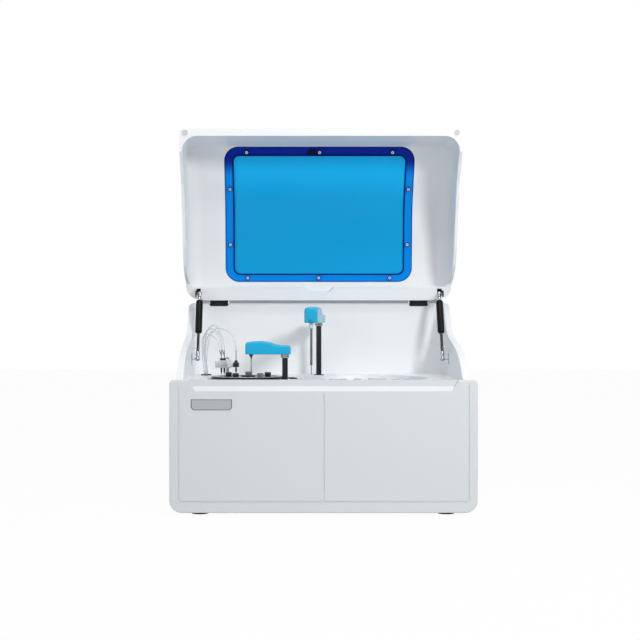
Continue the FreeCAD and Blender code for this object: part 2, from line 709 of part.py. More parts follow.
def hinge_parts():
    """Two hinges: a bracket with its pin on the back panel, and a leaf under the lid."""
    axis_y, rear = back(HINGE_BACK), BACK_PANEL
    brackets, leaves = [], []
    x0, x1 = HINGE_X - HINGE_LENGTH / 2, HINGE_X + HINGE_LENGTH / 2
    middle0, middle1 = HINGE_X - KNUCKLE_MIDDLE / 2, HINGE_X + KNUCKLE_MIDDLE / 2
    plate = box(x0, x1, rear - HINGE_LEAF, rear, HINGE_Z - HINGE_DROP, HINGE_Z - KNUCKLE_RADIUS + 1)
    ends = [along(Vector(a, axis_y, HINGE_Z), Vector(b, axis_y, HINGE_Z), KNUCKLE_RADIUS)
            for a, b in ((x0, middle0 - FLAT_GAP), (middle1 + FLAT_GAP, x1))]
    pin = along(Vector(x0, axis_y, HINGE_Z), Vector(x1, axis_y, HINGE_Z), PIN_RADIUS)
    neck = [box(a, b, rear - HINGE_LEAF, HINGE_BACK, HINGE_Z - KNUCKLE_RADIUS, HINGE_Z)
            for a, b in ((x0, middle0 - FLAT_GAP), (middle1 + FLAT_GAP, x1))]
    panel = box(x0 - 1, x1 + 1, rear, DEPTH, 0, HOUSING_TOP)
    relief = along(Vector(middle0 - FLAT_GAP, axis_y, HINGE_Z), Vector(middle1 + FLAT_GAP, axis_y, HINGE_Z),
                   KNUCKLE_RADIUS + FLAT_GAP)
    bracket = united([plate.cut(relief)] + ends + neck + [pin]).cut(panel)
    brackets += [bracket, mirrored(bracket)]
    save("hinge_brackets", *brackets)

    knuckle = along(Vector(middle0, axis_y, HINGE_Z), Vector(middle1, axis_y, HINGE_Z), KNUCKLE_RADIUS)
    leaf = box(x0, x1, LID_REAR, LID_REAR + HINGE_LEAF, HINGE_Z + KNUCKLE_RADIUS + FLAT_GAP, HINGE_Z + LEAF_RISE)
    web = box(middle0, middle1, LID_REAR, HINGE_BACK, HINGE_Z, HINGE_Z + KNUCKLE_RADIUS + 1)
    bore = along(Vector(x0, axis_y, HINGE_Z), Vector(x1, axis_y, HINGE_Z), PIN_RADIUS + RUNNING_GAP)
    leaf = united([knuckle, leaf, web]).cut(bore)
    leaves += [opened(leaf), opened(mirrored(leaf))]
    save("hinge_leaves", *leaves)


def strut_parts():
    """Two gas struts, each a rod in a tube between ball studs on the side cover and the lid."""
    low = Vector(STRUT_X, back(STRUT_LOW[0]), STRUT_LOW[1])
    high = Vector(STRUT_X, back(STRUT_HIGH[0]), STRUT_HIGH[1])
    run = (high - low).normalize()
    length = (high - low).Length

    ball = Part.makeSphere(BALL_RADIUS - 1.5, low, X_AXIS)
    stud = along(low, Vector(wing_inner - STUD_PLATE, low.y, low.z), STUD_RADIUS)
    half = STUD_PLATE_SIZE / 2
    plate = Part.makeBox(STUD_PLATE, 14, STUD_PLATE_SIZE, Vector(wing_inner - STUD_PLATE, low.y - 7, low.z - half))
    lower = united([ball, stud, plate])
    save("strut_lower_studs", lower, mirrored(lower))

    hollow = Part.makeSphere(BALL_RADIUS - 1.5 + RUNNING_GAP, low, X_AXIS)
    socket = Part.makeSphere(BALL_RADIUS, low, X_AXIS).cut(hollow)
    mouth = along(low + X_AXIS * (STUD_RADIUS + 0.6), low + X_AXIS * 20, STUD_RADIUS + 1.6)
    fitting = along(low + run * (BALL_RADIUS - 1), low + run * (BALL_RADIUS + STRUT_END_LENGTH), STRUT_END_RADIUS)
    rod = along(low + run * (BALL_RADIUS + STRUT_END_LENGTH - 1), low + run * (length - STRUT_ROD_SHORT), STRUT_ROD_RADIUS)
    rod_part = united([socket.cut(mouth), fitting, rod])
    save("right_strut_rod", rod_part)
    save("left_strut_rod", mirrored(rod_part))

    tube_end = high - run * (BALL_RADIUS + STRUT_END_LENGTH)
    tube_start = tube_end - run * STRUT_TUBE_LENGTH
    tube = along(tube_start, tube_end, STRUT_TUBE_RADIUS)
    bore = along(tube_start - run, tube_end - run * 8, STRUT_ROD_RADIUS + RUNNING_GAP)
    neck = along(tube_end - run, high - run * (BALL_RADIUS - 1), STRUT_END_RADIUS)
    eye = Part.makeSphere(BALL_RADIUS, high)
    reach = along(high, high + X_AXIS * UPPER_STUD, STUD_RADIUS)
    tube_part = united([tube.cut(bore), neck, eye, reach])
    save("right_strut_tube", tube_part)
    save("left_strut_tube", mirrored(tube_part))


def strut_brackets():
    """Ears under the lid's rear beam that the struts' upper studs bear against."""
    face = STRUT_X + UPPER_STUD + FLAT_GAP
    front = EAR_FRONT
    ear = box(face, face + EAR_THICK, front, front + EAR_LENGTH, EAR_LOW, BEAM_LOW)
    flange = box(face - 9, face + EAR_THICK, front - 2, front + 9, BEAM_LOW - EAR_THICK, BEAM_LOW)
    bracket = opened(united([ear, flange]))
    save("strut_upper_brackets", bracket, mirrored(bracket))


def ring_copies(shape, x, s, count, step):
    """Copies of a piece turned about an upright axis."""
    copies = []
    for i in range(count):
        copy = shape.copy()
        copy.rotate(Vector(x, back(s), 0), Z_AXIS, step * i)
        copies.append(copy)
    return copies


def reaction_parts():
    """Reaction disc with its cuvettes and knobs, over a heated bath."""
    x, s = REACTION_X, REACTION_BACK
    disc = post(x, s, disc_low, disc_top, REACTION_RADIUS)
    hub = post(x, s, disc_low - 20, disc_top + 3, HUB_RADIUS)
    tip_x, tip_s = mixer_tip
    half = CUVETTE_SIZE / 2
    hole = box(tip_x - half - 0.1, tip_x + half + 0.1, tip_s - half - 0.1, tip_s + half + 0.1,
               disc_low - 1, disc_top + 1)
    tilt = MIXER_CUVETTE + 90
    hole.rotate(Vector(tip_x, back(tip_s), 0), Z_AXIS, tilt)
    disc = united([disc, hub]).cut(Part.makeCompound(ring_copies(hole, x, s, CUVETTES, pitch)))
    socket = post(x, s, disc_low - 21, disc_low, SHAFT_RADIUS)
    save("reaction_disc", disc.cut(socket))

    cup_top = disc_top + 0.8
    cup = box(tip_x - half, tip_x + half, tip_s - half, tip_s + half, cup_top - CUVETTE_HEIGHT, cup_top)
    rim = box(tip_x - half - 0.6, tip_x + half + 0.6, tip_s - half - 0.9, tip_s + half + 0.9, disc_top, cup_top)
    inside = half - CUVETTE_WALL
    void = box(tip_x - inside, tip_x + inside, tip_s - inside, tip_s + inside,
               cup_top - CUVETTE_HEIGHT + 1.2, cup_top + 1)
    cup = united([cup, rim]).cut(void)
    cup.rotate(Vector(tip_x, back(tip_s), 0), Z_AXIS, tilt)
    save("cuvettes", *ring_copies(cup, x, s, CUVETTES, pitch))

    knobs = []
    for angle in KNOB_ANGLES:
        kx, ks = polar(x, s, KNOB_RING, angle)
        knobs.append(post(kx, ks, disc_top, disc_top + KNOB_HEIGHT, KNOB_RADIUS))
    save("disc_knobs", *knobs)

    outer = REACTION_RADIUS + BATH_GAP
    floor = disc_low - BATH_DEPTH
    bath = united([post(x, s, floor, DECK_TOP, outer),
                   post(x, s, DECK_TOP, DECK_TOP + 2, outer + BATH_FLANGE)])
    bath = bath.cut(post(x, s, floor + BATH_WALL, DECK_TOP + 3, outer - BATH_WALL))
    island = post(x, s, floor, floor + 12, CUVETTE_RING - 20)
    bath = united([bath, island]).cut(post(x, s, floor - 1, floor + 13, SHAFT_RADIUS + 2))
    save("reaction_bath", bath)


def reagent_parts():
    """Sample and reagent disc in its cooled tub, with bottles and open cups."""
    x, s = REAGENT_X, REAGENT_BACK
    plate_top = DECK_TOP - TRAY_DROP
    plate = post(x, s, plate_top - 4, plate_top, REAGENT_RADIUS)
    floor = plate_top - 62
    carrier = post(x, s, floor, floor + 4, BOTTLE_OUTER + 2)
    hub = post(x, s, floor - 8, plate_top + 6, 24)
    cup_x, cup_s = polar(x, s, SAMPLE_RING, sample_phase)
    ring_hole = post(cup_x, cup_s, plate_top - 5, plate_top + 1, CUP_RADIUS + 0.1)
    disc = united([plate, carrier, hub])
    disc = disc.cut(Part.makeCompound(ring_copies(ring_hole, x, s, SAMPLES, sample_pitch)))
    slot = bottle_block(plate_top - 5, plate_top + 1, 0.2)
    slot.rotate(Vector(x, back(s), 0), Z_AXIS, bottle_phase)
    disc = disc.cut(Part.makeCompound(ring_copies(slot, x, s, BOTTLES, 360.0 / BOTTLES)))
    disc = disc.cut(post(x, s, floor - 9, floor, SHAFT_RADIUS))
    save("reagent_disc", disc)

    cup_top = plate_top + CUP_LIP + 12
    cup = post(cup_x, cup_s, cup_top - CUP_HEIGHT, cup_top, CUP_RADIUS)
    lip = post(cup_x, cup_s, plate_top, plate_top + CUP_LIP, CUP_RADIUS + 1.5)
    cup = united([cup, lip]).cut(post(cup_x, cup_s, cup_top - CUP_HEIGHT + 2, cup_top + 1, CUP_RADIUS - CUP_WALL))
    save("sample_cups", *ring_copies(cup, x, s, SAMPLES, sample_pitch))

    body_low = floor + 4
    body_top = body_low + BOTTLE_HEIGHT
    body = bottle_block(body_low, body_top, 0)
    mouth_x, mouth_s = polar(x, s, BOTTLE_RING, 0)
    neck = post(mouth_x, mouth_s, body_top, body_top + BOTTLE_CAP, BOTTLE_MOUTH)
    bore = post(mouth_x, mouth_s, body_top - 30, body_top + BOTTLE_CAP + 1, BOTTLE_MOUTH - 2.2)
    bottle = united([body, neck]).cut(bore)
    bottle.rotate(Vector(x, back(s), 0), Z_AXIS, bottle_phase)
    save("reagent_bottles", *ring_copies(bottle, x, s, BOTTLES, 360.0 / BOTTLES))

    outer = REAGENT_WELL
    low = DECK_TOP - TUB_DEPTH
    tub = post(x, s, low, DECK_TOP, outer).cut(post(x, s, low + TUB_WALL, DECK_TOP + 1, outer - TUB_WALL))
    tub = united([tub, post(x, s, DECK_TOP, DECK_TOP + 1.5, outer + 4).cut(
        post(x, s, DECK_TOP - 1, DECK_TOP + 2, outer - TUB_WALL))])
    tub = tub.cut(post(x, s, low - 1, low + TUB_WALL + 1, SHAFT_RADIUS + 2))
    save("reagent_tub", tub)

    motors = [disc_motor(REACTION_X, REACTION_BACK, disc_low - BATH_DEPTH, disc_low - 0.0),
              disc_motor(x, s, low, floor)]
    save("disc_motors", *motors)


def bottle_block(z0, z1, grow):
    """Wedge-shaped bottle body between two radii, on the +X side of the reagent disc."""
    half_step = 180.0 / BOTTLES
    x, s = REAGENT_X, REAGENT_BACK
    inner_half = BOTTLE_INNER * math.tan(math.radians(half_step)) - 1.6 + grow
    outer_half = BOTTLE_OUTER * math.tan(math.radians(half_step)) - 1.6 + grow
    return plan_prism(((x + BOTTLE_INNER - grow, s - inner_half), (x + BOTTLE_OUTER + grow, s - outer_half),
                       (x + BOTTLE_OUTER + grow, s + outer_half), (x + BOTTLE_INNER - grow, s + inner_half)), z0, z1)


def disc_motor(x, s, seat, shaft_top):
    """Stepper motor under a disc, with its shaft up through the floor above."""
    half = MOTOR_SIZE / 2
    body = box(x - half, x + half, s - half, s + half, seat - MOTOR_HEIGHT, seat)
    return united([body, post(x, s, seat - 1, shaft_top, SHAFT_RADIUS - RUNNING_GAP)])


def arm_cover(reach, hump, tail, low):
    """Moulded arm cover along -X from a column at the origin, humped over its tip."""
    nose, end, width = -reach - ARM_NOSE, ARM_NOSE, ARM_WIDTH / 2
    outline = ((nose, low), (end, low), (end, low + tail), (-reach * 0.15, low + tail),
               (-reach * 0.50, low + hump), (-reach * 0.90, low + hump), (nose, low + hump - 7))
    radii = (2, 2, 9, 30, 30, 22, 8)
    points = [Vector(x, -width, z) for x, z in outline]
    cover = face_through(points, radii).extrude(Vector(0, 2 * width, 0))
    plan_points = [Vector(x, y, low - 1) for x, y in ((nose, -width), (end, -width), (end, width), (nose, width))]
    plan = face_through(plan_points, [7, 14, 14, 7]).extrude(Vector(0, 0, hump + 2))
    cover = cover.common(plan)
    inside = Part.makeBox(reach + ARM_NOSE, 2 * width - 5, tail - 5, Vector(nose + 2.5, 2.5 - width, low - 1))
    boss = Part.makeCylinder(COLUMN_RADIUS + 3, tail, Vector(0, 0, low), Z_AXIS)
    tip = Part.makeCylinder(6, tail, Vector(-reach, 0, low), Z_AXIS)
    return cover.cut(inside.cut(boss).cut(tip))


def placed(shape, place, angle):
    """Turn a piece built about the origin, pointing along -X, and set it on its column."""
    copy = shape.copy()
    copy.rotate(Vector(0, 0, 0), Z_AXIS, angle - 180)
    copy.translate(Vector(place[0], back(place[1]), 0))
    return copy


def arm_parts(name, place, angle, reach, low, hump, tool):
    """One arm: cover, column with its collar, tool, splined drive wheel and the guide with its motors."""
    cover = arm_cover(reach, hump, ARM_TAIL, low)
    seat = Part.makeCylinder(COLUMN_RADIUS, 14, Vector(0, 0, low - 1), Z_AXIS)
    tool_seat = Part.makeCylinder(2.5, 12, Vector(-reach, 0, low - 1), Z_AXIS)
    save(f"{name}_arm_cover", placed(cover.cut(seat).cut(tool_seat), place, angle))

    guide_low = deck_low - GUIDE_LENGTH
    column_low = guide_low - WHEEL_HEIGHT - 6
    column = Part.makeCylinder(COLUMN_RADIUS, low + 13 - column_low, Vector(0, 0, column_low), Z_AXIS)
    collar = Part.makeCylinder(COLLAR_RADIUS, COLLAR_HEIGHT, Vector(0, 0, low - COLLAR_HEIGHT), Z_AXIS)
    save(f"{name}_column", placed(united([column, collar]), place, angle))
    save(f"{name}_tool", placed(tool, place, angle))

    x, s = place
    wheel = post(x, s, guide_low - WHEEL_HEIGHT - FLAT_GAP, guide_low - FLAT_GAP, WHEEL_RADIUS)
    save(f"{name}_wheel", wheel.cut(post(x, s, 0, guide_low, COLUMN_RADIUS + RUNNING_GAP)))

    guide = post(x, s, guide_low, DECK_TOP + 1.5, GUIDE_RADIUS)
    flange = post(x, s, deck_low - 5, deck_low, GUIDE_RADIUS + 7)
    arm = box(x - 6, x + 6, s, s + DRIVE_OFFSET, guide_low, guide_low + 8)
    mx, ms = x, s + DRIVE_OFFSET
    half = DRIVE_SIZE / 2
    motor = box(mx - half, mx + half, ms - half, ms + half, guide_low, guide_low + DRIVE_HEIGHT)
    shaft = post(mx, ms, guide_low - WHEEL_HEIGHT, guide_low, SHAFT_RADIUS)
    guide = united([guide, flange, arm, motor, shaft])
    save(f"{name}_guide", guide.cut(post(x, s, guide_low - 1, DECK_TOP + 2, COLUMN_RADIUS + RUNNING_GAP)))


def mixer_rod():
    """Turning rod with a stepped collar at its top and a flat paddle at its tip."""
    reach, low = MIXER_REACH, MIXER_LOW
    at = Vector(-reach, 0, 0)
    shank = Part.makeCylinder(2.5 - RUNNING_GAP, 11, at + Z_AXIS * (low - 1), Z_AXIS)
    collar = Part.makeCylinder(7, 8, at + Z_AXIS * (low - 8 - FLAT_GAP), Z_AXIS)
    cone = Part.makeCone(1.8, 5.5, 9, at + Z_AXIS * (low - 17), Z_AXIS)
    rod = Part.makeCylinder(1.6, low - NEEDLE_TIP - 8, at + Z_AXIS * (NEEDLE_TIP + 8), Z_AXIS)
    paddle = Part.makeBox(5, 1.2, 10, at + Vector(-2.5, -0.6, NEEDLE_TIP))
    return united([shank, collar, cone, rod, paddle])


def probe_needle():
    """Thicker probe body with a white sleeve at its top and a thin tip, about the origin."""
    reach, low = PROBE_REACH, PROBE_LOW
    at = Vector(-reach, 0, 0)
    shank = Part.makeCylinder(2.5, 12, at + Z_AXIS * (low - 1), Z_AXIS)
    sleeve = Part.makeCylinder(5, 15, at + Z_AXIS * (low - 15.5), Z_AXIS)
    body = Part.makeCylinder(3.2, low - 15 - 376, at + Z_AXIS * 376, Z_AXIS)
    needle = Part.makeCylinder(NEEDLE_RADIUS, low - NEEDLE_TIP, at + Z_AXIS * NEEDLE_TIP, Z_AXIS)
    return united([shank, sleeve, body, needle])


def wells():
    """Two wash wells, each a cup through the deck with a collar."""
    shapes = []
    for x, s in well_places():
        cup = united([post(x, s, WELL_LOW, DECK_TOP, WELL_RADIUS),
                      post(x, s, DECK_TOP, DECK_TOP + WELL_RISE, WELL_RADIUS + 2.5)])
        shapes.append(cup.cut(post(x, s, WELL_LOW + 3, DECK_TOP + 20, WELL_BORE)))
    save("wash_wells", *shapes)


def wash_parts():
    """Wash head on its lift post: three needles, a clear block, a clamp and their tubes."""
    spots = [polar(REACTION_X, REACTION_BACK, CUVETTE_RING, a) for a in WASH_ANGLES]
    (x1, s1), (x2, s2), (x3, s3) = spots
    low, top = WASH_BLOCK_LOW, WASH_BLOCK_TOP
    px, ps = WASH_POST_X, WASH_POST_BACK
    plate = box(x1 - 18, px + 11, s1 - 9, ps + 11, low, low + 3)
    block = box(x1 - 8, x2 + 8, s1 - 8, s2 + 8, low + 3, top)
    sleeve = post(px, ps, low, top, 11)
    bridge = box(px - 6, px + 6, s2, ps, low + 3, low + 14)
    reach = box(px, x3 - 7, s3 - 5, s3 + 5, low, low + 12)
    cup = post(x1 - 12, s1 - 4, low + 3, top - 2, 5).cut(post(x1 - 12, s1 - 4, low + 5, top, 3.8))
    head = united([plate, block, sleeve, bridge, reach, cup])
    head = head.cut(post(px, ps, low - 1, top + 1, WASH_POST_RADIUS + RUNNING_GAP))
    for x, s in spots[:2]:
        head = head.cut(post(x, s, low - 1, top + 1, WASH_NEEDLE))
    clamp = box(x3 - 8, x3 + 8, s3 - 8, s3 + 8, low + 1, low + 13)
    head = united([head, clamp]).cut(post(x3, s3, low - 1, top + 1, WASH_NEEDLE))
    save("wash_head", head)

    needles = []
    for x, s in spots:
        stem = post(x, s, NEEDLE_TIP - 1, WASH_TOP, WASH_NEEDLE)
        ferrule_low = top if (x, s) != spots[2] else low + 13
        ferrule = post(x, s, ferrule_low, ferrule_low + 5, 2.6)
        needles.append(united([stem, ferrule]))
    for i, lean in ((0, -1), (1, -1)):
        x, s = spots[i]
        fork = along(Vector(x, back(s), WASH_TOP - 14), Vector(x + lean * 5.5, back(s), WASH_TOP), WASH_NEEDLE)
        needles[i] = united([needles[i], fork])
    save("wash_needles", *needles)

    guide = post(px, ps, 236, WASH_POST_TOP, WASH_POST_RADIUS)
    flange = post(px, ps, deck_low - 8, deck_low, 16)
    drive = box(px - 22, px + 22, ps - 16, ps + 28, 200, 250)
    save("wash_post", united([guide, flange, drive]))
    return spots


def tube(points, radius):
    """Thin tube of straight runs and tangent arcs through hand-picked points."""
    radii = [0]
    for before, corner, after in zip(points[:-2], points[1:-1], points[2:]):
        turn = (corner - before).getAngle(after - corner)
        run = min((corner - before).Length, (after - corner).Length)
        radii.append(0.45 * run / math.tan(turn / 2))
    radii.append(0)
    print("  tube radii", [round(r, 1) for r in radii[1:-1]], "of diameter", 2 * radius)
    edges = path_edges(points, radii, False)
    wire = Part.Wire(edges)
    profile = Part.Wire(Part.makeCircle(radius, points[0], points[1] - points[0]))
    solid = wire.makePipeShell([profile], True, False)
    print("  volume share", round(solid.Volume / (math.pi * radius ** 2 * wire.Length), 4),
          "length", round(wire.Length, 1))
    return solid


def tube_routes():
    """Each wash tube's points as (X, distance behind the front, height), from needle top to deck."""
    (x1, s1), (x2, s2), (x3, s3) = [polar(REACTION_X, REACTION_BACK, CUVETTE_RING, a) for a in WASH_ANGLES]
    top, gx, gs = WASH_TOP, GROMMET_X, GROMMET_BACK
    return (
        ((x1 - 5.5, s1, top), (x1 - 7, s1 + 1, top + 20), (-291, s1 + 14, 452), (-310, 252, 461),
         (-325, 290, 452), (-329, 325, 428), (-330, 355, 398), (-329, 378, 371), (gx - 5, gs - 3, 351), (gx - 5, gs - 3, 333)),
        ((x1, s1, top), (x1, s1 + 2, top + 22), (-280, s1 + 18, 462), (-300, 262, 476),
         (-318, 300, 466), (-326, 338, 442), (-328, 366, 410), (-326, 384, 378), (gx, gs - 6, 353), (gx, gs - 6, 333)),
        ((x2 - 5.5, s2, top), (x2 - 6, s2 + 2, top + 24), (-274, s2 + 20, 470), (-292, 278, 485),
         (-311, 314, 475), (-321, 346, 448), (-325, 372, 414), (-324, 388, 380), (gx + 5, gs - 3, 353), (gx + 5, gs - 3, 333)),
        ((x2, s2, top), (x2, s2 + 3, top + 20), (-269, s2 + 26, 453), (-288, 292, 468),
         (-308, 330, 463), (-320, 362, 438), (-324, 386, 406), (-322, 398, 376), (gx + 3, gs + 4, 352), (gx + 3, gs + 4, 333)),
        ((x3, s3, top), (x3 - 1, s3 + 2, top + 22), (-242, s3 + 18, 456), (-266, 298, 473),
         (-291, 334, 474), (-309, 366, 455), (-318, 392, 423), (-320, 406, 388), (gx - 3, gs + 4, 354), (gx - 3, gs + 4, 333)),
    )


def tubes_and_grommet():
    """Five thin tubes from the wash needles down through a grommet in the deck."""
    for number, route in enumerate(tube_routes(), 1):
        points = [Vector(x, back(s), z) for x, s, z in route]
        x, s, z = route[0]
        below = post(x, s, z - 4, z, 4)
        save(f"wash_tube_{number}", tube(points, TUBE_RADIUS).cut(below))
    x, s = GROMMET_X, GROMMET_BACK
    body = united([post(x, s, deck_low - 3, DECK_TOP + 3, GROMMET_RADIUS - 3),
                   post(x, s, DECK_TOP, DECK_TOP + 3, GROMMET_RADIUS)])
    for route in tube_routes():
        end_x, end_s, _ = route[-1]
        body = body.cut(post(end_x, end_s, 300, 360, TUBE_RADIUS))
    save("tube_grommet", body)


def inside_parts():
    """Syringe pumps, photometer, power supply, board, fan and the rear connections."""
    x, s = SYRINGE_X, SYRINGE_BACK
    low, height = SYRINGE_LOW, SYRINGE_HEIGHT
    wall_x = side_inner
    rear = s + 14
    plate = box(x - 30, wall_x, rear, rear + 4, tray_top, low + height + 20)
    foot = box(x - 30, wall_x - TRAY_THICK, rear, rear + 40, tray_top, tray_top + 4)
    plate = plate.cut(box(wall_x - TRAY_THICK, wall_x + 1, rear - 1, rear + 50, tray_top - 1, tray_top + TRAY_FLANGE))
    pieces = [plate, foot]
    plungers = []
    for offset in (-SYRINGE_PITCH / 2, SYRINGE_PITCH / 2):
        cx = x + 8 + offset
        barrel = post(cx, s, low, low + height, SYRINGE_RADIUS)
        ear = box(cx - 12, cx + 12, s, rear + 1, low + height - 6, low + height)
        ear2 = box(cx - 12, cx + 12, s, rear + 1, low, low + 6)
        pieces += [united([barrel, ear, ear2]).cut(post(cx, s, low - 1, low + height - 8, SYRINGE_BORE))]
        stem = post(cx, s, low - 30, low + 22, 3)
        seal = post(cx, s, low + 22, low + 30, SYRINGE_BORE - RUNNING_GAP)
        plungers += [stem, seal]
    yoke = box(x - 18, x + 34, s - 8, s + 8, low - 36, low - 28)
    save("syringe_pumps", united(pieces))
    save("syringe_plungers", united(plungers + [yoke]))

    bath_outer = REACTION_RADIUS + BATH_GAP
    photometer = box(REACTION_X - bath_outer - 44, REACTION_X - bath_outer + 0, REACTION_BACK - 45,
                     REACTION_BACK + 45, 262, deck_low)
    photometer = photometer.cut(post(REACTION_X, REACTION_BACK, 200, deck_low + 1, bath_outer))
    save("photometer", photometer)

    supply = box(-340, -200, 370, 500, tray_top, 84)

    board = box(-40, 160, REAR_COVER - 22, REAR_COVER - 20, 180, 320)
    spacers = [Part.makeCylinder(3, 20, Vector(bx, back(REAR_COVER - 20), bz), Y_AXIS)
               for bx in (-32, 152) for bz in (188, 312)]
    save("electronics", supply, united([board] + spacers))

    half = FAN_SIZE / 2
    frame = box(FAN_X - half, FAN_X + half, REAR_COVER - FAN_THICK, REAR_COVER, FAN_Z - half, FAN_Z + half)
    duct = Part.makeCylinder(FAN_RADIUS, 60, Vector(FAN_X, back(REAR_COVER - 40), FAN_Z), Y_AXIS)
    spider = [box(FAN_X - FAN_RADIUS - 1, FAN_X + FAN_RADIUS + 1, REAR_COVER - FAN_THICK,
                  REAR_COVER - FAN_THICK + 3, FAN_Z - 3, FAN_Z + 3),
              box(FAN_X - 3, FAN_X + 3, REAR_COVER - FAN_THICK, REAR_COVER - FAN_THICK + 3,
                  FAN_Z - FAN_RADIUS - 1, FAN_Z + FAN_RADIUS + 1)]
    axle = Part.makeCylinder(3, FAN_THICK - 6, Vector(FAN_X, back(REAR_COVER - FAN_THICK), FAN_Z), Y_AXIS)
    save("fan_frame", united([frame.cut(duct)] + spider + [axle]))
    rotor_start = back(REAR_COVER - FAN_THICK + 4)
    hub = Part.makeCylinder(16, FAN_THICK - 7, Vector(FAN_X, rotor_start, FAN_Z), Y_AXIS)
    blades = []
    for i in range(7):
        blade = Part.makeBox(FAN_RADIUS - 16, 3, 14, Vector(FAN_X + 14, rotor_start + 7, FAN_Z - 7))
        blade.rotate(Vector(FAN_X, rotor_start + 8, FAN_Z), X_AXIS, 35)
        blade.rotate(Vector(FAN_X, 0, FAN_Z), Y_AXIS, 360 / 7 * i)
        blades.append(blade)
    rotor = united([hub] + blades)
    save("fan_rotor", rotor.cut(Part.makeCylinder(3 + RUNNING_GAP, 60, Vector(FAN_X, rotor_start - 1, FAN_Z), Y_AXIS)))

    inlet = box(INLET_X - 24, INLET_X + 24, REAR_COVER - 30, REAR_COVER + REAR_SHEET, INLET_Z - 14, INLET_Z + 14)
    flange = box(INLET_X - 30, INLET_X + 30, REAR_COVER + REAR_SHEET, REAR_COVER + REAR_SHEET + 3,
                 INLET_Z - 18, INLET_Z + 18)
    socket = box(INLET_X - 20, INLET_X + 4, REAR_COVER - 16, REAR_COVER + 10, INLET_Z - 9, INLET_Z + 9)
    pins = [box(INLET_X - 8 + dx - 1, INLET_X - 8 + dx + 1, REAR_COVER - 17, REAR_COVER - 2, INLET_Z - 2, INLET_Z + 2)
            for dx in (-7, 0, 7)]
    bay = box(INLET_X + 8, INLET_X + 22, REAR_COVER - 16, REAR_COVER + 10, INLET_Z - 12, INLET_Z + 12)
    body = united([inlet, flange]).cut(socket).cut(bay)
    pivot_y = back(REAR_COVER - 4)
    pivot = Part.makeCylinder(1.5, 16, Vector(INLET_X + 7, pivot_y, INLET_Z), X_AXIS)
    save("mains_inlet", united([body, pivot] + pins))
    rocker = side_prism(((REAR_COVER - 9, INLET_Z - 9), (REAR_COVER + 5.5, INLET_Z - 10),
                         (REAR_COVER + 3.5, INLET_Z), (REAR_COVER + 8.5, INLET_Z + 10),
                         (REAR_COVER - 6, INLET_Z + 9)), INLET_X + 8.4, INLET_X + 21.6)
    save("switch_rocker", rocker.cut(Part.makeCylinder(1.5 + RUNNING_GAP, 30, Vector(INLET_X, pivot_y, INLET_Z), X_AXIS)))

    nipples = []
    for x in PORT_X:
        start = Vector(x, back(REAR_COVER - 20), PORT_Z)
        nipple = along(start, Vector(x, back(DEPTH + BADGE_PROUD), PORT_Z), NIPPLE_RADIUS)
        nut = along(Vector(x, back(REAR_COVER - 6), PORT_Z), Vector(x, back(REAR_COVER), PORT_Z), 8)
        sheet_back = REAR_COVER + REAR_SHEET
        collar = along(Vector(x, back(sheet_back), PORT_Z), Vector(x, back(sheet_back + PORT_COLLAR), PORT_Z), 8)
        channel = along(start - Y_AXIS, Vector(x, back(DEPTH + BADGE_PROUD + 1), PORT_Z), 2)
        nipples.append(united([nipple, nut, collar]).cut(channel))
    save("fluid_ports", *nipples)


base_parts()
front_cover()
side_covers()
deck_and_back()
lid_parts()
hinge_parts()
strut_parts()
strut_brackets()
reaction_parts()
reagent_parts()
arm_parts("mixer", mixer_place, 180, MIXER_REACH, MIXER_LOW, MIXER_HUMP, mixer_rod())
arm_parts("probe", probe_place, probe_rest, PROBE_REACH, PROBE_LOW, PROBE_HUMP, probe_needle())
wells()
wash_parts()
tubes_and_grommet()
inside_parts()
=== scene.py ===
"""Looks of the benchtop chemistry analyzer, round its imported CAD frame. Metres, Z up, front towards -Y."""
import math

import bmesh
import bpy
import numpy as np
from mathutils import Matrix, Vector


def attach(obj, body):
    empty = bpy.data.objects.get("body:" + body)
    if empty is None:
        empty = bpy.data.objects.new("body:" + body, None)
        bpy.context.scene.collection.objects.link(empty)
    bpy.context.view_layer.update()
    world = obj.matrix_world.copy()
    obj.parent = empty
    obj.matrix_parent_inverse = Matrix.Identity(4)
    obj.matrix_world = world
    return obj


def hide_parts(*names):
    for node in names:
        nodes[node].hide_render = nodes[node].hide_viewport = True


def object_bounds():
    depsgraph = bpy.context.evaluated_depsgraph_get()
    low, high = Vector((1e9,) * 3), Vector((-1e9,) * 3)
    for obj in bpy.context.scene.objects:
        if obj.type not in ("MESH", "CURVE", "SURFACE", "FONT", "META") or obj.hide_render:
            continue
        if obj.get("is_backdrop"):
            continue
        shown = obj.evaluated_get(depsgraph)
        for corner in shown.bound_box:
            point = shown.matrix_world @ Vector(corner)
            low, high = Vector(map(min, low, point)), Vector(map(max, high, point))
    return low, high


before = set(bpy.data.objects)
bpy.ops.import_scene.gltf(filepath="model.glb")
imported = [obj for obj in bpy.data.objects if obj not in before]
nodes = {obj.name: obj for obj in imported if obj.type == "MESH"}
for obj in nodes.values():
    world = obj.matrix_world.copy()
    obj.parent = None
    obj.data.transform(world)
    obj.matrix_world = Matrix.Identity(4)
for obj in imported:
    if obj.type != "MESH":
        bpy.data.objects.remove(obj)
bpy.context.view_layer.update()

# Camera
# The photograph was taken level, from 3.2 m in front of the cover, a little left of its middle. Its view is
# narrow, and the part stands slightly off the middle of the picture.
camera = bpy.data.objects.new("camera", bpy.data.cameras.new("camera"))
camera.location = (-0.090, -3.480, 0.502)
camera.rotation_euler = (math.radians(90), 0, 0)
camera.data.sensor_width = 36
camera.data.lens = 71.23
camera.data.shift_x = 0.05
camera.data.shift_y = -0.003
bpy.context.scene.collection.objects.link(camera)
bpy.context.scene.camera = camera
bpy.context.scene.view_settings.view_transform = "Standard"

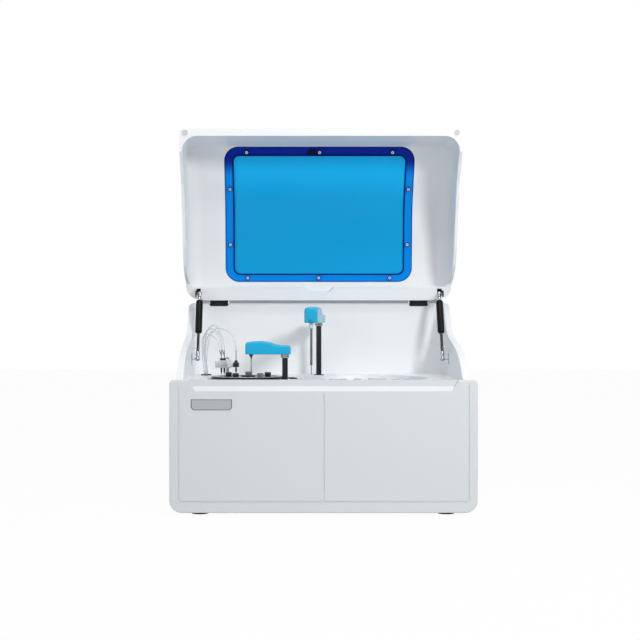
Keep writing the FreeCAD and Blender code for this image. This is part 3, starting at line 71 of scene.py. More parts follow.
# Housing
# Front cover, side covers and inner back panel are vacuum-formed white plastic with a fine satin grain.
# The front cover is given a darker copy of this white, as painted shade on its upright face, and the other
# covers and the lid a paler one, as painted light for the shaded interior.
# The deck is the same plastic, a little greyer. Base tray, frame and rear sheet are powder-coated steel.


def shader_of(name):
    """New material and its Principled shader."""
    material = bpy.data.materials.new(name)
    material.use_nodes = True
    return material, material.node_tree.nodes["Principled BSDF"]


def surface_group():
    """Group that turns object coordinates into a fine grain height and a slow drift of the colour."""
    group = bpy.data.node_groups.new("moulded_surface", "ShaderNodeTree")
    number, tint_kind = "NodeSocketFloat", "NodeSocketColor"
    for name, kind, value in (("Colour", tint_kind, (0.8, 0.8, 0.8, 1)), ("Grain Scale", number, 900),
                              ("Drift", number, 0.03), ("Roughness", number, 0.4)):
        socket = group.interface.new_socket(name, in_out="INPUT", socket_type=kind)
        socket.default_value = value
    for name, kind in (("Colour", tint_kind), ("Roughness", number), ("Height", number)):
        group.interface.new_socket(name, in_out="OUTPUT", socket_type=kind)
    made, link = group.nodes, group.links
    inputs, outputs = made.new("NodeGroupInput"), made.new("NodeGroupOutput")
    place = made.new("ShaderNodeTexCoord")
    grain, drift = made.new("ShaderNodeTexNoise"), made.new("ShaderNodeTexNoise")
    drift.inputs["Scale"].default_value = 7
    drift.inputs["Detail"].default_value = 3
    grain.inputs["Detail"].default_value = 2
    link.new(place.outputs["Object"], grain.inputs["Vector"])
    link.new(place.outputs["Object"], drift.inputs["Vector"])
    link.new(inputs.outputs["Grain Scale"], grain.inputs["Scale"])
    centred = made.new("ShaderNodeMath")
    centred.operation = "SUBTRACT"
    centred.inputs[1].default_value = 0.5
    link.new(drift.outputs["Fac"], centred.inputs[0])
    swing = made.new("ShaderNodeMath")
    swing.operation = "MULTIPLY_ADD"
    swing.inputs[2].default_value = 1.0
    link.new(centred.outputs[0], swing.inputs[0])
    link.new(inputs.outputs["Drift"], swing.inputs[1])
    tint = made.new("ShaderNodeVectorMath")
    tint.operation = "SCALE"
    link.new(inputs.outputs["Colour"], tint.inputs[0])
    link.new(swing.outputs[0], tint.inputs["Scale"])
    link.new(tint.outputs[0], outputs.inputs["Colour"])
    rough = made.new("ShaderNodeMath")
    rough.operation = "MULTIPLY"
    link.new(inputs.outputs["Roughness"], rough.inputs[0])
    link.new(swing.outputs[0], rough.inputs[1])
    link.new(rough.outputs[0], outputs.inputs["Roughness"])
    link.new(grain.outputs["Fac"], outputs.inputs["Height"])
    return group


moulded_surface = surface_group()


def surfaced(name, colour, roughness, grain=900, bump=0.05, drift=0.04, **sockets):
    """Material with the shared grain and drift. Other sockets of the shader are given by name."""
    material, shader = shader_of(name)
    tree = material.node_tree
    surface = tree.nodes.new("ShaderNodeGroup")
    surface.node_tree = moulded_surface
    surface.inputs["Colour"].default_value = (*colour[:3], 1)
    surface.inputs["Grain Scale"].default_value = grain
    surface.inputs["Drift"].default_value = drift
    surface.inputs["Roughness"].default_value = roughness
    tree.links.new(surface.outputs["Colour"], shader.inputs["Base Color"])
    tree.links.new(surface.outputs["Roughness"], shader.inputs["Roughness"])
    bumps = tree.nodes.new("ShaderNodeBump")
    bumps.inputs["Strength"].default_value = bump
    bumps.inputs["Distance"].default_value = 0.001
    tree.links.new(surface.outputs["Height"], bumps.inputs["Height"])
    tree.links.new(bumps.outputs["Normal"], shader.inputs["Normal"])
    for socket, value in sockets.items():
        shader.inputs[socket.replace("_", " ")].default_value = value
    return material


def dress(material, *names):
    """Give CAD nodes their finish."""
    for name in names:
        data = nodes[name].data
        if not data.materials:
            data.materials.append(material)
        for slot in nodes[name].material_slots:
            slot.material = material


# Painted light: this white is paler than the plastic, to lighten the shaded interior.
white = surfaced("white_moulding_painted_light", (0.87, 0.88, 0.885), 0.42, grain=1400, bump=0.03, drift=0.015)
dress(white, "left_side_cover", "right_side_cover", "back_panel", "lid_shell")
# Painted shade: the front cover's copy of the same white is darker, for its upright face.
front_white_painted_shade = surfaced("front_moulding_painted_shade", (0.67, 0.69, 0.705), 0.42, grain=1400, bump=0.03, drift=0.015)
dress(front_white_painted_shade, "front_cover")
deck_white = surfaced("deck_moulding", (0.84, 0.855, 0.865), 0.35, grain=1400, bump=0.03, drift=0.015)
dress(deck_white, "deck_plate")
coated = surfaced("powder_coat", (0.66, 0.68, 0.70), 0.5, grain=1800, bump=0.15, drift=0.02)
dress(coated, "base_tray", "deck_frame", "rear_cover")

# Feet and grommet
# Pressed black rubber, with the two pale rim bumpers that the lid closes on.
rubber = surfaced("black_rubber", (0.018, 0.018, 0.018), 0.75, grain=600, bump=0.2, drift=0.2)
dress(rubber, "rubber_feet", "tube_grommet")
pale_rubber = surfaced("pale_rubber", (0.60, 0.60, 0.59), 0.7, grain=600, bump=0.2, drift=0.08)
dress(pale_rubber, "lid_bumpers")

# Window
# A 5 mm sheet of blue acrylic, curved with the lid and screwed under its inner face. White plastic lies
# behind its border, and a thin dark seal runs round the opening. A deeper blue line along the sheet's edge
# is painted shade. The border and that line are painted a deeper blue towards their upper edge, as painted
# shade under the lid's front wall. The pane in the opening is a paler, slightly clear blue, painted brighter
# towards its top as painted light.
# Lines are places behind the front face with their heights. Outlines are half width, start, end and radius.
HINGE_LINE = (505, 551)
LID_TURN = math.radians(84)
LID_LINE = ((33, 347.5), (56, 497), (235, 570), (462, 566))
LID_BENDS = (16, 160)
SHEET = (272.6, 58, 449, 41)
OPENING = (246, 84, 425, 16)
SHEET_THICK = 0.005
MIDDLE_DEPTH = 280


def back(distance):
    """Metres along Y for a distance in millimetres behind the front face."""
    return (distance - MIDDLE_DEPTH) / 1000


def bent_line(points, radii, steps=20):
    """Straight runs through the points, each inner corner replaced by its tangent arc."""
    pts = np.array(points, float)
    made = [pts[:1]]
    for before, corner, after, radius in zip(pts[:-2], pts[1:-1], pts[2:], radii):
        one = (before - corner) / np.linalg.norm(before - corner)
        two = (after - corner) / np.linalg.norm(after - corner)
        half = math.acos(float(one @ two)) / 2
        middle = (one + two) / np.linalg.norm(one + two)
        centre = corner + middle * radius / math.sin(half)
        start, end = corner + one * radius / math.tan(half), corner + two * radius / math.tan(half)
        blend = np.linspace(0, 1, steps)[:, None]
        arc = start - centre + (end - start) * blend
        made.append(centre + arc * (radius / np.linalg.norm(arc, axis=1))[:, None])
    made.append(pts[-1:])
    return np.concatenate(made)


lid_curve = bent_line(LID_LINE, LID_BENDS)


def from_shut_lid(x, s, z):
    """Places on the open lid, in metres, of points given on the shut lid in millimetres."""
    forward, up = HINGE_LINE[0] - s, z - HINGE_LINE[1]
    turned_s = HINGE_LINE[0] - forward * math.cos(LID_TURN) + up * math.sin(LID_TURN)
    turned_z = HINGE_LINE[1] + forward * math.sin(LID_TURN) + up * math.cos(LID_TURN)
    return np.stack([x / 1000, back(turned_s), turned_z / 1000], axis=-1)


def on_lid(x, s, inward=0.0):
    """Points on the lid's inner face, or that far in front of it, for places on the shut lid's plan."""
    z = np.interp(s, lid_curve[:, 0], lid_curve[:, 1])
    slope = (np.interp(s + 0.5, lid_curve[:, 0], lid_curve[:, 1])
             - np.interp(s - 0.5, lid_curve[:, 0], lid_curve[:, 1]))
    size = np.sqrt(1 + slope ** 2)
    return from_shut_lid(x, s + inward * slope / size, z - inward / size)


def grid_piece(name, points, material, wrap=False, body=None, smooth=True):
    """Surface through a grid of points, wrapped round in its second direction when asked."""
    rows, columns = points.shape[:2]
    mesh = bpy.data.meshes.new(name)
    index = np.arange(rows * columns).reshape(rows, columns)
    if wrap:
        index = np.concatenate([index, index[:, :1]], axis=1)
    quads = np.stack([index[:-1, :-1], index[:-1, 1:], index[1:, 1:], index[1:, :-1]], axis=-1).reshape(-1, 4)
    mesh.from_pydata(points.reshape(-1, 3).tolist(), [], quads.tolist())
    mesh.polygons.foreach_set("use_smooth", [smooth] * len(quads))
    mesh.materials.append(material)
    mesh.update()
    piece = bpy.data.objects.new(name, mesh)
    bpy.context.scene.collection.objects.link(piece)
    if body:
        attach(piece, body)
    return piece


def closed(piece):
    """Merge the doubles at seams and poles and turn every face outwards."""
    shape = bmesh.new()
    shape.from_mesh(piece.data)
    bmesh.ops.remove_doubles(shape, verts=shape.verts, dist=1e-7)
    bmesh.ops.recalc_face_normals(shape, faces=shape.faces)
    shape.to_mesh(piece.data)
    shape.free()
    piece.data.polygons.foreach_set("use_smooth", [True] * len(piece.data.polygons))
    piece.data.update()


def thicken(piece, thickness, side):
    """Give a surface its wall with a modifier."""
    wall = piece.modifiers.new("wall", "SOLIDIFY")
    wall.thickness = thickness
    wall.offset = side
    return piece


def plan_outline(half, start, end, radius, count=24):
    """Closed round-cornered outline: quarter turns at the four corners, joined by straight runs."""
    turn = np.linspace(0, math.pi / 2, count)
    along = np.linspace(0, 1, 14)[1:-1]
    corners = ((half - radius, end - radius, 0), (radius - half, end - radius, 1),
               (radius - half, start + radius, 2), (half - radius, start + radius, 3))
    parts = []
    for x, s, quarter in corners:
        angle = turn + quarter * math.pi / 2
        parts.append(np.stack([x + radius * np.cos(angle), s + radius * np.sin(angle)], axis=1))
    joined = []
    for part, following in zip(parts, parts[1:] + parts[:1]):
        joined += [part, part[-1] + (following[0] - part[-1]) * along[:, None]]
    return np.concatenate(joined)


def ring_on_lid(name, outer, inner, steps, inward, material):
    """Band between two outlines on the lid's inner face."""
    share = np.linspace(0, 1, steps)[:, None, None]
    plan = plan_outline(*outer)[None] * (1 - share) + plan_outline(*inner)[None] * share
    return grid_piece(name, on_lid(plan[..., 0], plan[..., 1], inward), material, wrap=True, body="lid")


def painted_by_height(material, start, end, deep):
    """Blend a finish towards another colour between two heights, by the piece's own Object coordinates. Here
    it paints shade and light by height.
    """
    tree = material.node_tree
    shader = tree.nodes["Principled BSDF"]
    plain = shader.inputs["Base Color"].links[0].from_socket
    place, split = tree.nodes.new("ShaderNodeTexCoord"), tree.nodes.new("ShaderNodeSeparateXYZ")
    share, mixed = tree.nodes.new("ShaderNodeMapRange"), tree.nodes.new("ShaderNodeMix")
    share.inputs["From Min"].default_value = start
    share.inputs["From Max"].default_value = end
    share.interpolation_type = "SMOOTHSTEP"
    mixed.data_type = "RGBA"
    colours = [socket for socket in mixed.inputs if socket.type == "RGBA"]
    colours[1].default_value = (*deep, 1)
    result = [socket for socket in mixed.outputs if socket.type == "RGBA"][0]
    tree.links.new(place.outputs["Object"], split.inputs[0])
    tree.links.new(split.outputs["Z"], share.inputs["Value"])
    tree.links.new(share.outputs["Result"], mixed.inputs["Factor"])
    tree.links.new(plain, colours[0])
    tree.links.new(result, shader.inputs["Base Color"])


matt = {"Specular_IOR_Level": 0.1}
border_blue = surfaced("border_blue", (0.0005, 0.262, 0.82), 0.16, grain=60, bump=0.0, drift=0.03,
                       Specular_IOR_Level=0.08)
pane_blue = surfaced("pane_blue", (0.003, 0.385, 0.77), 0.10, grain=60, bump=0.0, drift=0.02, Alpha=0.93,
                     Specular_IOR_Level=0.08)
seal_dark = surfaced("seal_dark", (0.0006, 0.010, 0.19), 0.5, grain=600, bump=0.1, drift=0.1, **matt)
tab_dark = surfaced("tab_dark", (0.0005, 0.006, 0.05), 0.4, grain=600, bump=0.05, drift=0.1, **matt)
# Painted shade: this deeper blue stands for the shade along the sheet's edge and round each screw.
painted_shade_blue = surfaced("painted_shade_blue", (0.0003, 0.065, 0.42), 0.3, grain=60, bump=0.0, drift=0.03, **matt)
BORDER_SHADE_BLEND = (0.905, 0.955)
PANE_LIGHT_BLEND = (0.80, 0.95)
# Painted shade: the border and its edge line turn a deeper blue towards their upper edge, under the lid's
# front wall.
painted_by_height(border_blue, *BORDER_SHADE_BLEND, (0.0004, 0.022, 0.36))
painted_by_height(painted_shade_blue, *BORDER_SHADE_BLEND, (0.0003, 0.008, 0.14))
# Painted light: the pane blends to a brighter blue towards its top.
painted_by_height(pane_blue, *PANE_LIGHT_BLEND, (0.004, 0.50, 0.98))
SEAL_OUTER, SEAL_INNER = (249.8, 80.2, 428.8, 19.6), (245.6, 84.4, 424.6, 15.6)
EDGE_OUTER, EDGE_INNER = (272.8, 57.8, 449.2, 41.2), (269.8, 60.8, 446.2, 38.2)
window_border = thicken(ring_on_lid("window_border", SHEET, OPENING, 5, 0.1, border_blue), SHEET_THICK, 1)
window_seal = thicken(ring_on_lid("window_seal", SEAL_OUTER, SEAL_INNER, 3, 0.9, seal_dark), SHEET_THICK, 1)
window_edge = thicken(ring_on_lid("window_edge", EDGE_OUTER, EDGE_INNER, 3, 0.3, painted_shade_blue), SHEET_THICK, 1)
half, start, end, radius = OPENING
rows = start + (end - start) * (1 - np.cos(np.linspace(0, math.pi, 61))) / 2
to_end = np.minimum(rows - start, end - rows)
inset = radius - np.sqrt(np.maximum(radius ** 2 - np.maximum(radius - to_end, 0) ** 2, 0))
across = np.linspace(-1, 1, 41)[None, :] * (half - inset)[:, None]
plan_s = np.repeat(rows[:, None], 41, axis=1)
window_pane = thicken(grid_piece("window_pane", on_lid(across, plan_s, 0.6), pane_blue, body="lid"),
                      SHEET_THICK - 0.001, 1)
TAB_X, TAB_HALF, TAB_START, TAB_RUN, TAB_THICK = -22.0, 8.5, 64.5, 17.5, 0.0014
drop = np.linspace(0, 1, 7)[:, None]
share = np.linspace(0, 1, 9)
tab_left, tab_right = TAB_X - TAB_HALF * (1 + 0.85 * drop), TAB_X + TAB_HALF * (1 + 0.95 * drop)
tab_across = tab_left * (1 - share) + tab_right * share
tab_points = on_lid(tab_across, TAB_START + TAB_RUN * drop + 0 * tab_across, 1.8)
window_tab = thicken(grid_piece("window_tab", tab_points, tab_dark, body="lid"), TAB_THICK, 1)
for piece in (window_border, window_edge, window_seal, window_pane, window_tab):
    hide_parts("lid_window")

# Badge plate
# Plain brushed aluminium plate, left blank, in a thin dark bevelled rim. Its two lower corners are cut off.
# It is glued in a shallow seat of the front cover.
brushed = surfaced("brushed_aluminium", (0.50, 0.53, 0.56), 0.34, grain=300, bump=0.08, drift=0.06,
                   Metallic=1.0)
rim_metal = surfaced("badge_rim", (0.14, 0.15, 0.16), 0.3, grain=300, bump=0.05, drift=0.06, Metallic=1.0)


def softened(piece, width, segments):
    """Soften the edges with a bevel, unless the width is nought."""
    if width:
        soft = piece.modifiers.new("soft_edges", "BEVEL")
        soft.width = width
        soft.segments = segments
        soft.limit_method = "ANGLE"


def capped(piece, soften):
    """Close both open ends of a tube of faces, turn the faces outwards and soften the edges."""
    shape = bmesh.new()
    shape.from_mesh(piece.data)
    bmesh.ops.remove_doubles(shape, verts=shape.verts, dist=1e-6)
    bmesh.ops.holes_fill(shape, edges=shape.edges)
    bmesh.ops.recalc_face_normals(shape, faces=shape.faces)
    shape.to_mesh(piece.data)
    shape.free()
    softened(piece, soften, 3)
    return piece


def upright(name, rows, material, body, stand_for, soften=0.0):
    """Plate that stands in the plane of the front: outlines of (X, height) points, each at its depth."""
    points = np.array([[(x / 1000, back(deep), z / 1000) for x, z in outline] for outline, deep in rows])
    piece = grid_piece(name, points, material, wrap=True, body=body, smooth=False)
    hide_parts(stand_for)
    return capped(piece, soften)


def badge_outline(inset):
    """Outline of the badge, drawn in by inset millimetres, as (X, height) points."""
    x0, x1 = -335.5 + inset, -231.5 - inset
    z0, z1 = 269.25 + inset, 296.75 - inset
    cut = 6 - 0.586 * inset
    return [(x0 + cut, z0), (x1 - cut, z0), (x1, z0 + cut), (x1, z1), (x0, z1), (x0, z0 + cut)]


upright("badge_face", [(badge_outline(1.8), 1.0), (badge_outline(1.8), -0.4)], brushed, "housing",
        "badge_plate")
rim_rows = ((0, 1.0), (0, -0.4), (0.7, -1.0), (1.4, -1.0), (1.9, -0.5), (1.9, 1.0), (0, 1.0))
upright("badge_rim", [(badge_outline(inset), deep) for inset, deep in rim_rows], rim_metal, "housing",
        "badge_plate")

# Steel and blackened pieces
# Polished needles, rods, screws and the bath ring; satin black struts, hinges and columns.
bright = surfaced("bright_steel", (0.50, 0.52, 0.54), 0.22, grain=900, bump=0.03, drift=0.05, Metallic=1.0)
dress(bright, "strut_lower_studs", "reaction_bath", "wash_post")
screw_steel = surfaced("screw_steel", (0.78, 0.74, 0.68), 0.3, grain=900, bump=0.02, drift=0.05, Metallic=1.0)
dress(screw_steel, "window_screws")
needle_steel = surfaced("needle_steel", (0.17, 0.18, 0.19), 0.25, grain=900, bump=0.02, drift=0.05,
                        Metallic=1.0)
dress(needle_steel, "probe_tool", "wash_needles")
black = surfaced("black_finish", (0.004, 0.0045, 0.005), 0.24, grain=900, bump=0.03, drift=0.1,
                 Specular_IOR_Level=0.30)
dress(black, "hinge_leaves", "strut_upper_brackets", "mixer_guide", "probe_guide", "mixer_wheel",
      "probe_wheel", "wash_wells", "reaction_disc", "photometer", "disc_motors", "fan_frame", "fan_rotor",
      "mains_inlet", "switch_rocker")
column_black = surfaced("column_black", (0.035, 0.037, 0.04), 0.18, grain=900, bump=0.01, drift=0.06,
                        Metallic=1.0)
dress(column_black, "mixer_column", "probe_column")
aluminium = surfaced("satin_aluminium", (0.60, 0.61, 0.63), 0.4, grain=700, bump=0.06, drift=0.05,
                     Metallic=1.0)
dress(aluminium, "electronics", "syringe_pumps")
tub_metal = surfaced("tub_metal", (0.86, 0.88, 0.90), 0.6, grain=700, bump=0.06, drift=0.05, Metallic=0.6)
dress(tub_metal, "reagent_tub")
pale = surfaced("pale_plastic", (0.62, 0.65, 0.68), 0.4, grain=900, bump=0.05, drift=0.04)
dress(pale, "reagent_disc", "syringe_plungers", "fluid_ports")
clear = surfaced("clear_plastic", (0.75, 0.80, 0.84), 0.15, grain=500, bump=0.02, drift=0.03, Alpha=0.5)
dress(clear, "cuvettes", "sample_cups", "reagent_bottles")

# Arm covers
# Gloss blue moulded caps with soft top edges, clipped over each arm. They are highest over the tool and step
# down to the column, and each is open below, over the arm's own plate.
ARM_HALF = 18
MIXER_COLUMN = (-97.763, 89.626)
PROBE_COLUMN = (-2.0, 420.0)
arm_blue = surfaced("arm_blue", (0.010, 0.40, 0.66), 0.18, grain=900, bump=0.02, drift=0.03,
                    Specular_IOR_Level=0.25)


def arm_cap(name, node, column, angle, reach, low, hump, tail, body):
    """Cap swept along its arm. A section is a squared ellipse: full and soft-edged above, nearly square
    below. Its top follows a smooth run of heights, and both ends close in a quarter round."""
    nose, end, soft = -reach - 15, 15, 7.0
    quarter = np.linspace(0, math.pi / 2, 9)
    x = np.concatenate([nose + soft * (1 - np.cos(quarter)), np.linspace(nose + soft, end - soft, 60)[1:-1],
                        end - soft + soft * np.sin(quarter)])
    inset = np.concatenate([soft * (1 - np.sin(quarter)), np.zeros(58), soft * (1 - np.cos(quarter))])
    knots = np.array([nose, -0.93 * reach, -0.80 * reach, -0.62 * reach, -0.44 * reach, -0.26 * reach,
                      -0.12 * reach, 0, end])
    tops = np.array([hump - 3.5, hump - 0.6, hump, hump, hump - 3.2, hump - (hump - tail) * 0.80,
                     tail + 0.3, tail, tail - 0.5])
    fine = np.linspace(nose, end, 400)
    kernel = np.hanning(33) / np.hanning(33).sum()
    raw = np.interp(fine, knots, tops)
    smooth_tops = np.convolve(np.pad(raw, 16, mode="edge"), kernel, mode="valid")
    top = np.interp(x, fine, smooth_tops) - inset
    half = ARM_HALF - inset
    angles = np.linspace(0, 2 * math.pi, 64, endpoint=False)
    c, s = np.cos(angles)[None, :], np.sin(angles)[None, :]
    power = np.where(s > 0, 2 / 5.0, 2 / 16.0)
    y = half[:, None] * np.sign(c) * np.abs(c) ** power
    lift = top[:, None] / 2 * (1 + np.where(s > 0, 1, -1) * np.abs(s) ** power)
    turn = math.radians(angle - 180)
    px = column[0] + x[:, None] * math.cos(turn) - y * math.sin(turn)
    ps = column[1] + x[:, None] * math.sin(turn) + y * math.cos(turn)
    points = np.stack([px / 1000, back(ps), (low + lift) / 1000], axis=-1)
    lid_points = [points[0].mean(0), points[-1].mean(0)]
    capped = np.concatenate([np.broadcast_to(lid_points[0], (1, 64, 3)), points,
                             np.broadcast_to(lid_points[1], (1, 64, 3))])
    piece = grid_piece(name, capped, arm_blue, wrap=True, body=body)
    closed(piece)
    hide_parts(node)
    return piece


MIXER_LOW, MIXER_REACH = 408, 88
PROBE_LOW, PROBE_REACH, PROBE_ANGLE = 489, 230, -96.3826
arm_cap("mixer_cap", "mixer_arm_cover", MIXER_COLUMN, 180, MIXER_REACH, MIXER_LOW, 34.5, 23.5,
        "mixer_arm")
arm_cap("probe_cap", "probe_arm_cover", PROBE_COLUMN, PROBE_ANGLE, PROBE_REACH, PROBE_LOW, 44, 24,
        "probe_arm")

# Collars and sleeves
# Turned rings: a chromed clamp collar under each arm on its column, and a white sleeve round the top of the
# probe.
chromed = surfaced("chromed_collar", (0.42, 0.44, 0.46), 0.14, grain=900, bump=0.01, drift=0.03, Metallic=1.0)
sleeve_white = surfaced("sleeve_white", (0.72, 0.74, 0.76), 0.3, grain=900, bump=0.02, drift=0.03)


def turned(name, profile, start, way, material, body, stand_for=None, count=48, soften=0.0004,
           flutes=0):
    """Turned piece: a (radius, distance) profile in millimetres carried round the line that leaves start
    along way. With flutes, the radius swings that many times round, which makes a fluted grip."""
    outline = np.array(profile, float)
    way = np.array(way, float) / np.linalg.norm(way)
    side = np.cross(way, (0.0, 0.0, 1.0) if abs(way[2]) < 0.9 else (1.0, 0.0, 0.0))
    side /= np.linalg.norm(side)
    other = np.cross(way, side)
    angle = np.linspace(0, 2 * math.pi, count, endpoint=False)
    swing = 1 + 0.03 * np.sign(flutes) * np.cos(flutes * angle)
    around = (side * np.cos(angle)[:, None] + other * np.sin(angle)[:, None]) * swing[:, None]
    radius, distance = outline[:, 0, None, None], outline[:, 1, None, None]
    points = np.array(start, float) + way * distance + around[None] * radius
    piece = grid_piece(name, (points - (0, MIDDLE_DEPTH, 0)) / 1000, material, wrap=True, body=body)
    closed(piece)
    softened(piece, soften, 2)
    if stand_for:
        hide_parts(stand_for)
    return piece


UPWARDS = (0, 0, 1)
COLLAR_STEPS = ((7.6, 0.2), (11, 0.2), (11, 3.6), (10.4, 4.0), (10.4, 5.2), (11, 5.6), (11, 9.2), (7.6, 9.2),
                (7.6, 0.2))
SLEEVE_STEPS = ((3.4, 488.9), (5.3, 488.9), (5.3, 474.5), (4.4, 473.2), (3.4, 473.2), (3.4, 488.9))
PROBE_TIP = (PROBE_COLUMN[0] + PROBE_REACH * math.cos(math.radians(PROBE_ANGLE)),
             PROBE_COLUMN[1] + PROBE_REACH * math.sin(math.radians(PROBE_ANGLE)))
for name, column, low, body in (("mixer_collar", MIXER_COLUMN, MIXER_LOW, "mixer_arm"),
                                ("probe_collar", PROBE_COLUMN, PROBE_LOW, "probe_arm")):
    steps = [(radius, low - drop) for radius, drop in COLLAR_STEPS]
    turned(name, steps, (*column, 0), UPWARDS, chromed, body)
turned("probe_sleeve", SLEEVE_STEPS, (*PROBE_TIP, 0), UPWARDS, sleeve_white, "probe_arm")

# Gas struts
# A blackened rod slides in a black painted tube. Both end in chromed ball sockets, pressed over the ball
# studs on the side cover below, and bolted to the lid's bracket above.
STRUT_X = 343
STRUT_FOOT = (345, 388)
STRUT_HEAD = (430, 572)
STRUT_RUN = (0, 85, 184)
STRUT_LENGTH = math.hypot(*STRUT_RUN[1:])
rod_steel = surfaced("rod_steel", (0.05, 0.052, 0.056), 0.2, grain=900, bump=0.02, drift=0.08, Metallic=1.0)
strut_paint = surfaced("strut_paint", (0.003, 0.003, 0.0035), 0.35, grain=900, bump=0.02, drift=0.1,
                       Specular_IOR_Level=0.14)
bow = np.linspace(0, math.radians(137), 14)
ball_cup = [tuple(point) for point in np.column_stack([6.5 * np.sin(bow), -6.5 * np.cos(bow)])]
lower_socket = [*ball_cup, (4.4, 9), (5.5, 10.5), (5.5, 20.5), (4.2, 22.5), (0, 22.5)]
upper_socket = [(radius, STRUT_LENGTH - place)
                for radius, place in (*ball_cup, (4.4, 9), (5.4, 10.5), (5.4, 20), (4.5, 23), (0, 23))][::-1]
shaft = ((0, 21), (3.9, 21), (3.9, 126.6), (0, 126.6))
cylinder = ((0, 79), (7, 79), (7, 80), (8, 80), (9.5, 82), (10, 84), (10, 175.2), (9.5, 177.6), (7.6, 180.2),
            (0, 180.2))
bolt = ((0, 0), (3, 0), (3, 9), (0, 9))
for side, x in (("left", -STRUT_X), ("right", STRUT_X)):
    foot, rod, tube = (x, *STRUT_FOOT), side + "_rod", side + "_tube"
    turned(side + "_strut_socket", lower_socket, foot, STRUT_RUN, chromed, rod,
           soften=0)
    turned(side + "_strut_shaft", shaft, foot, STRUT_RUN, rod_steel, rod, side + "_strut_rod")
    turned(side + "_strut_cylinder", cylinder, foot, STRUT_RUN, strut_paint, tube, side + "_strut_tube")
    turned(side + "_strut_eye", upper_socket, foot, STRUT_RUN, chromed, tube,
           soften=0)
    turned(side + "_strut_bolt", bolt, (x, *STRUT_HEAD), (x, 0, 0), chromed, tube)

# Hinge gap bead
# A grey bead along the hinge line closes the slot between the lid's rear edge and the housing. Its grey is
# painted shade, standing for the shadow in that slot.
# It is cut away at the two hinges.
# Painted shade: the bead's mid grey stands for the shadow in the hinge slot.
gap_shade_grey = surfaced("gap_shade_grey", (0.46, 0.50, 0.54), 0.7, grain=600, bump=0.15, drift=0.08)
GAP_BEAD_RADIUS, GAP_BEAD_Z = 6.2, 552.2
for name, x, length in (("hinge_gap_bead", -262, 524), ("hinge_seal_left", -346, 26),
                        ("hinge_seal_right", 320, 26)):
    bead = ((0, 0), (GAP_BEAD_RADIUS, 0), (GAP_BEAD_RADIUS, length), (0, length))
    turned(name, bead, (x, HINGE_LINE[0], GAP_BEAD_Z), (1, 0, 0), gap_shade_grey, "housing")

# Hinge brackets
# Each hinge has a black plate with round ends on the back panel, and two knuckles with domed ends on the pin.
# A short neck joins each knuckle to the plate.
half_turn = np.linspace(-math.pi / 2, math.pi / 2, 12)
PLATE_END, PLATE_OUTER, PLATE_INNER, PLATE_Z = 5.5, 313.5, 269.5, 542.5
neck = ((0, 0), (2.2, 0), (2.2, 6), (0, 6))
for side, name in ((-1, "left"), (1, "right")):
    ends = [(side * (middle + way * PLATE_END * math.cos(a)), PLATE_Z + way * PLATE_END * math.sin(a))
            for middle, way in ((PLATE_OUTER, 1), (PLATE_INNER, -1)) for a in half_turn]
    upright(name + "_hinge_plate", [(ends, 504), (ends, 502)], black, "housing",
            "hinge_brackets", 0.0005)
    for number, (outer, inner) in enumerate(((264, 279.2), (319, 303.8)), 1):
        run = abs(inner - outer)
        way = (side * math.copysign(1, inner - outer), 0, 0)
        knuckle = ((0, 0), (2.4, 0.3), (3.6, 1.2), (4, 2.6), (4, run), (0, run))
        turned(f"{name}_hinge_knuckle_{number}", knuckle, (side * outer, *HINGE_LINE), way, black, "housing",
               "hinge_brackets", count=32, soften=0)
        turned(f"{name}_hinge_neck_{number}", neck, (side * (outer + inner) / 2, 503, 545), UPWARDS, black,
               "housing", None, count=24)

# Disc knobs
# Five low fluted thumb knobs hold the reaction disc's segments down: three black, two grey.
# They stand on one circle, evenly spaced.
knob_black = surfaced("knob_black", (0.008, 0.008, 0.009), 0.45, grain=900, bump=0.08, drift=0.1)
knob_grey = surfaced("knob_grey", (0.22, 0.23, 0.24), 0.45, grain=900, bump=0.08, drift=0.1)
DISC_MIDDLE, KNOB_CIRCLE = (-196, 173), 55
KNOB_STEPS = ((0, 347), (7.0, 347), (7.0, 348.4), (8.2, 348.8), (8.4, 355), (7.6, 357.2), (3.2, 357.4),
              (3.0, 356.8), (0, 356.8))
for number, angle in enumerate((-125, -53, 19, 91, 163), 1):
    x = DISC_MIDDLE[0] + KNOB_CIRCLE * math.cos(math.radians(angle))
    s = DISC_MIDDLE[1] + KNOB_CIRCLE * math.sin(math.radians(angle))
    tint = knob_grey if number in (2, 4) else knob_black
    turned(f"disc_knob_{number}", KNOB_STEPS, (x, s, 0), UPWARDS, tint, "reaction", "disc_knobs",
           count=96, flutes=16)

# Wash head
# A white bracket on the lift post carries a clear needle block, a small clear drip cup and a black clamp. Two
# forked needles stand in the block and a single one in the clamp. Each is held by a black nut, with a dark
# ferrule below.
WASH_NEEDLES = ((-269.5, 213.724), (-262.2, 224.7), (-231.5, 249.1))
clear_block = surfaced("clear_block", (0.78, 0.82, 0.86), 0.12, grain=500, bump=0.01, drift=0.03, Alpha=0.55)


def slab(name, outline, low, high, material, body, finish, stand_for=None, soften=0.0008):
    """Plate of a plan outline between two heights, with softened edges."""
    plan = np.array(outline, float)
    rows = np.stack([np.column_stack([plan[:, 0] / 1000, back(plan[:, 1]), np.full(len(plan), height / 1000)])
                     for height in (low, high)])
    piece = grid_piece(name, rows, material, wrap=True, body=body)
    capped(piece, soften)
    if stand_for:
        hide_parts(stand_for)
    return piece


def rounded_plan(x0, x1, s0, s1, radius):
    """Rectangle in plan with quarter-round corners."""
    return plan_outline((x1 - x0) / 2, s0, s1, radius, 7) + ((x0 + x1) / 2, 0)


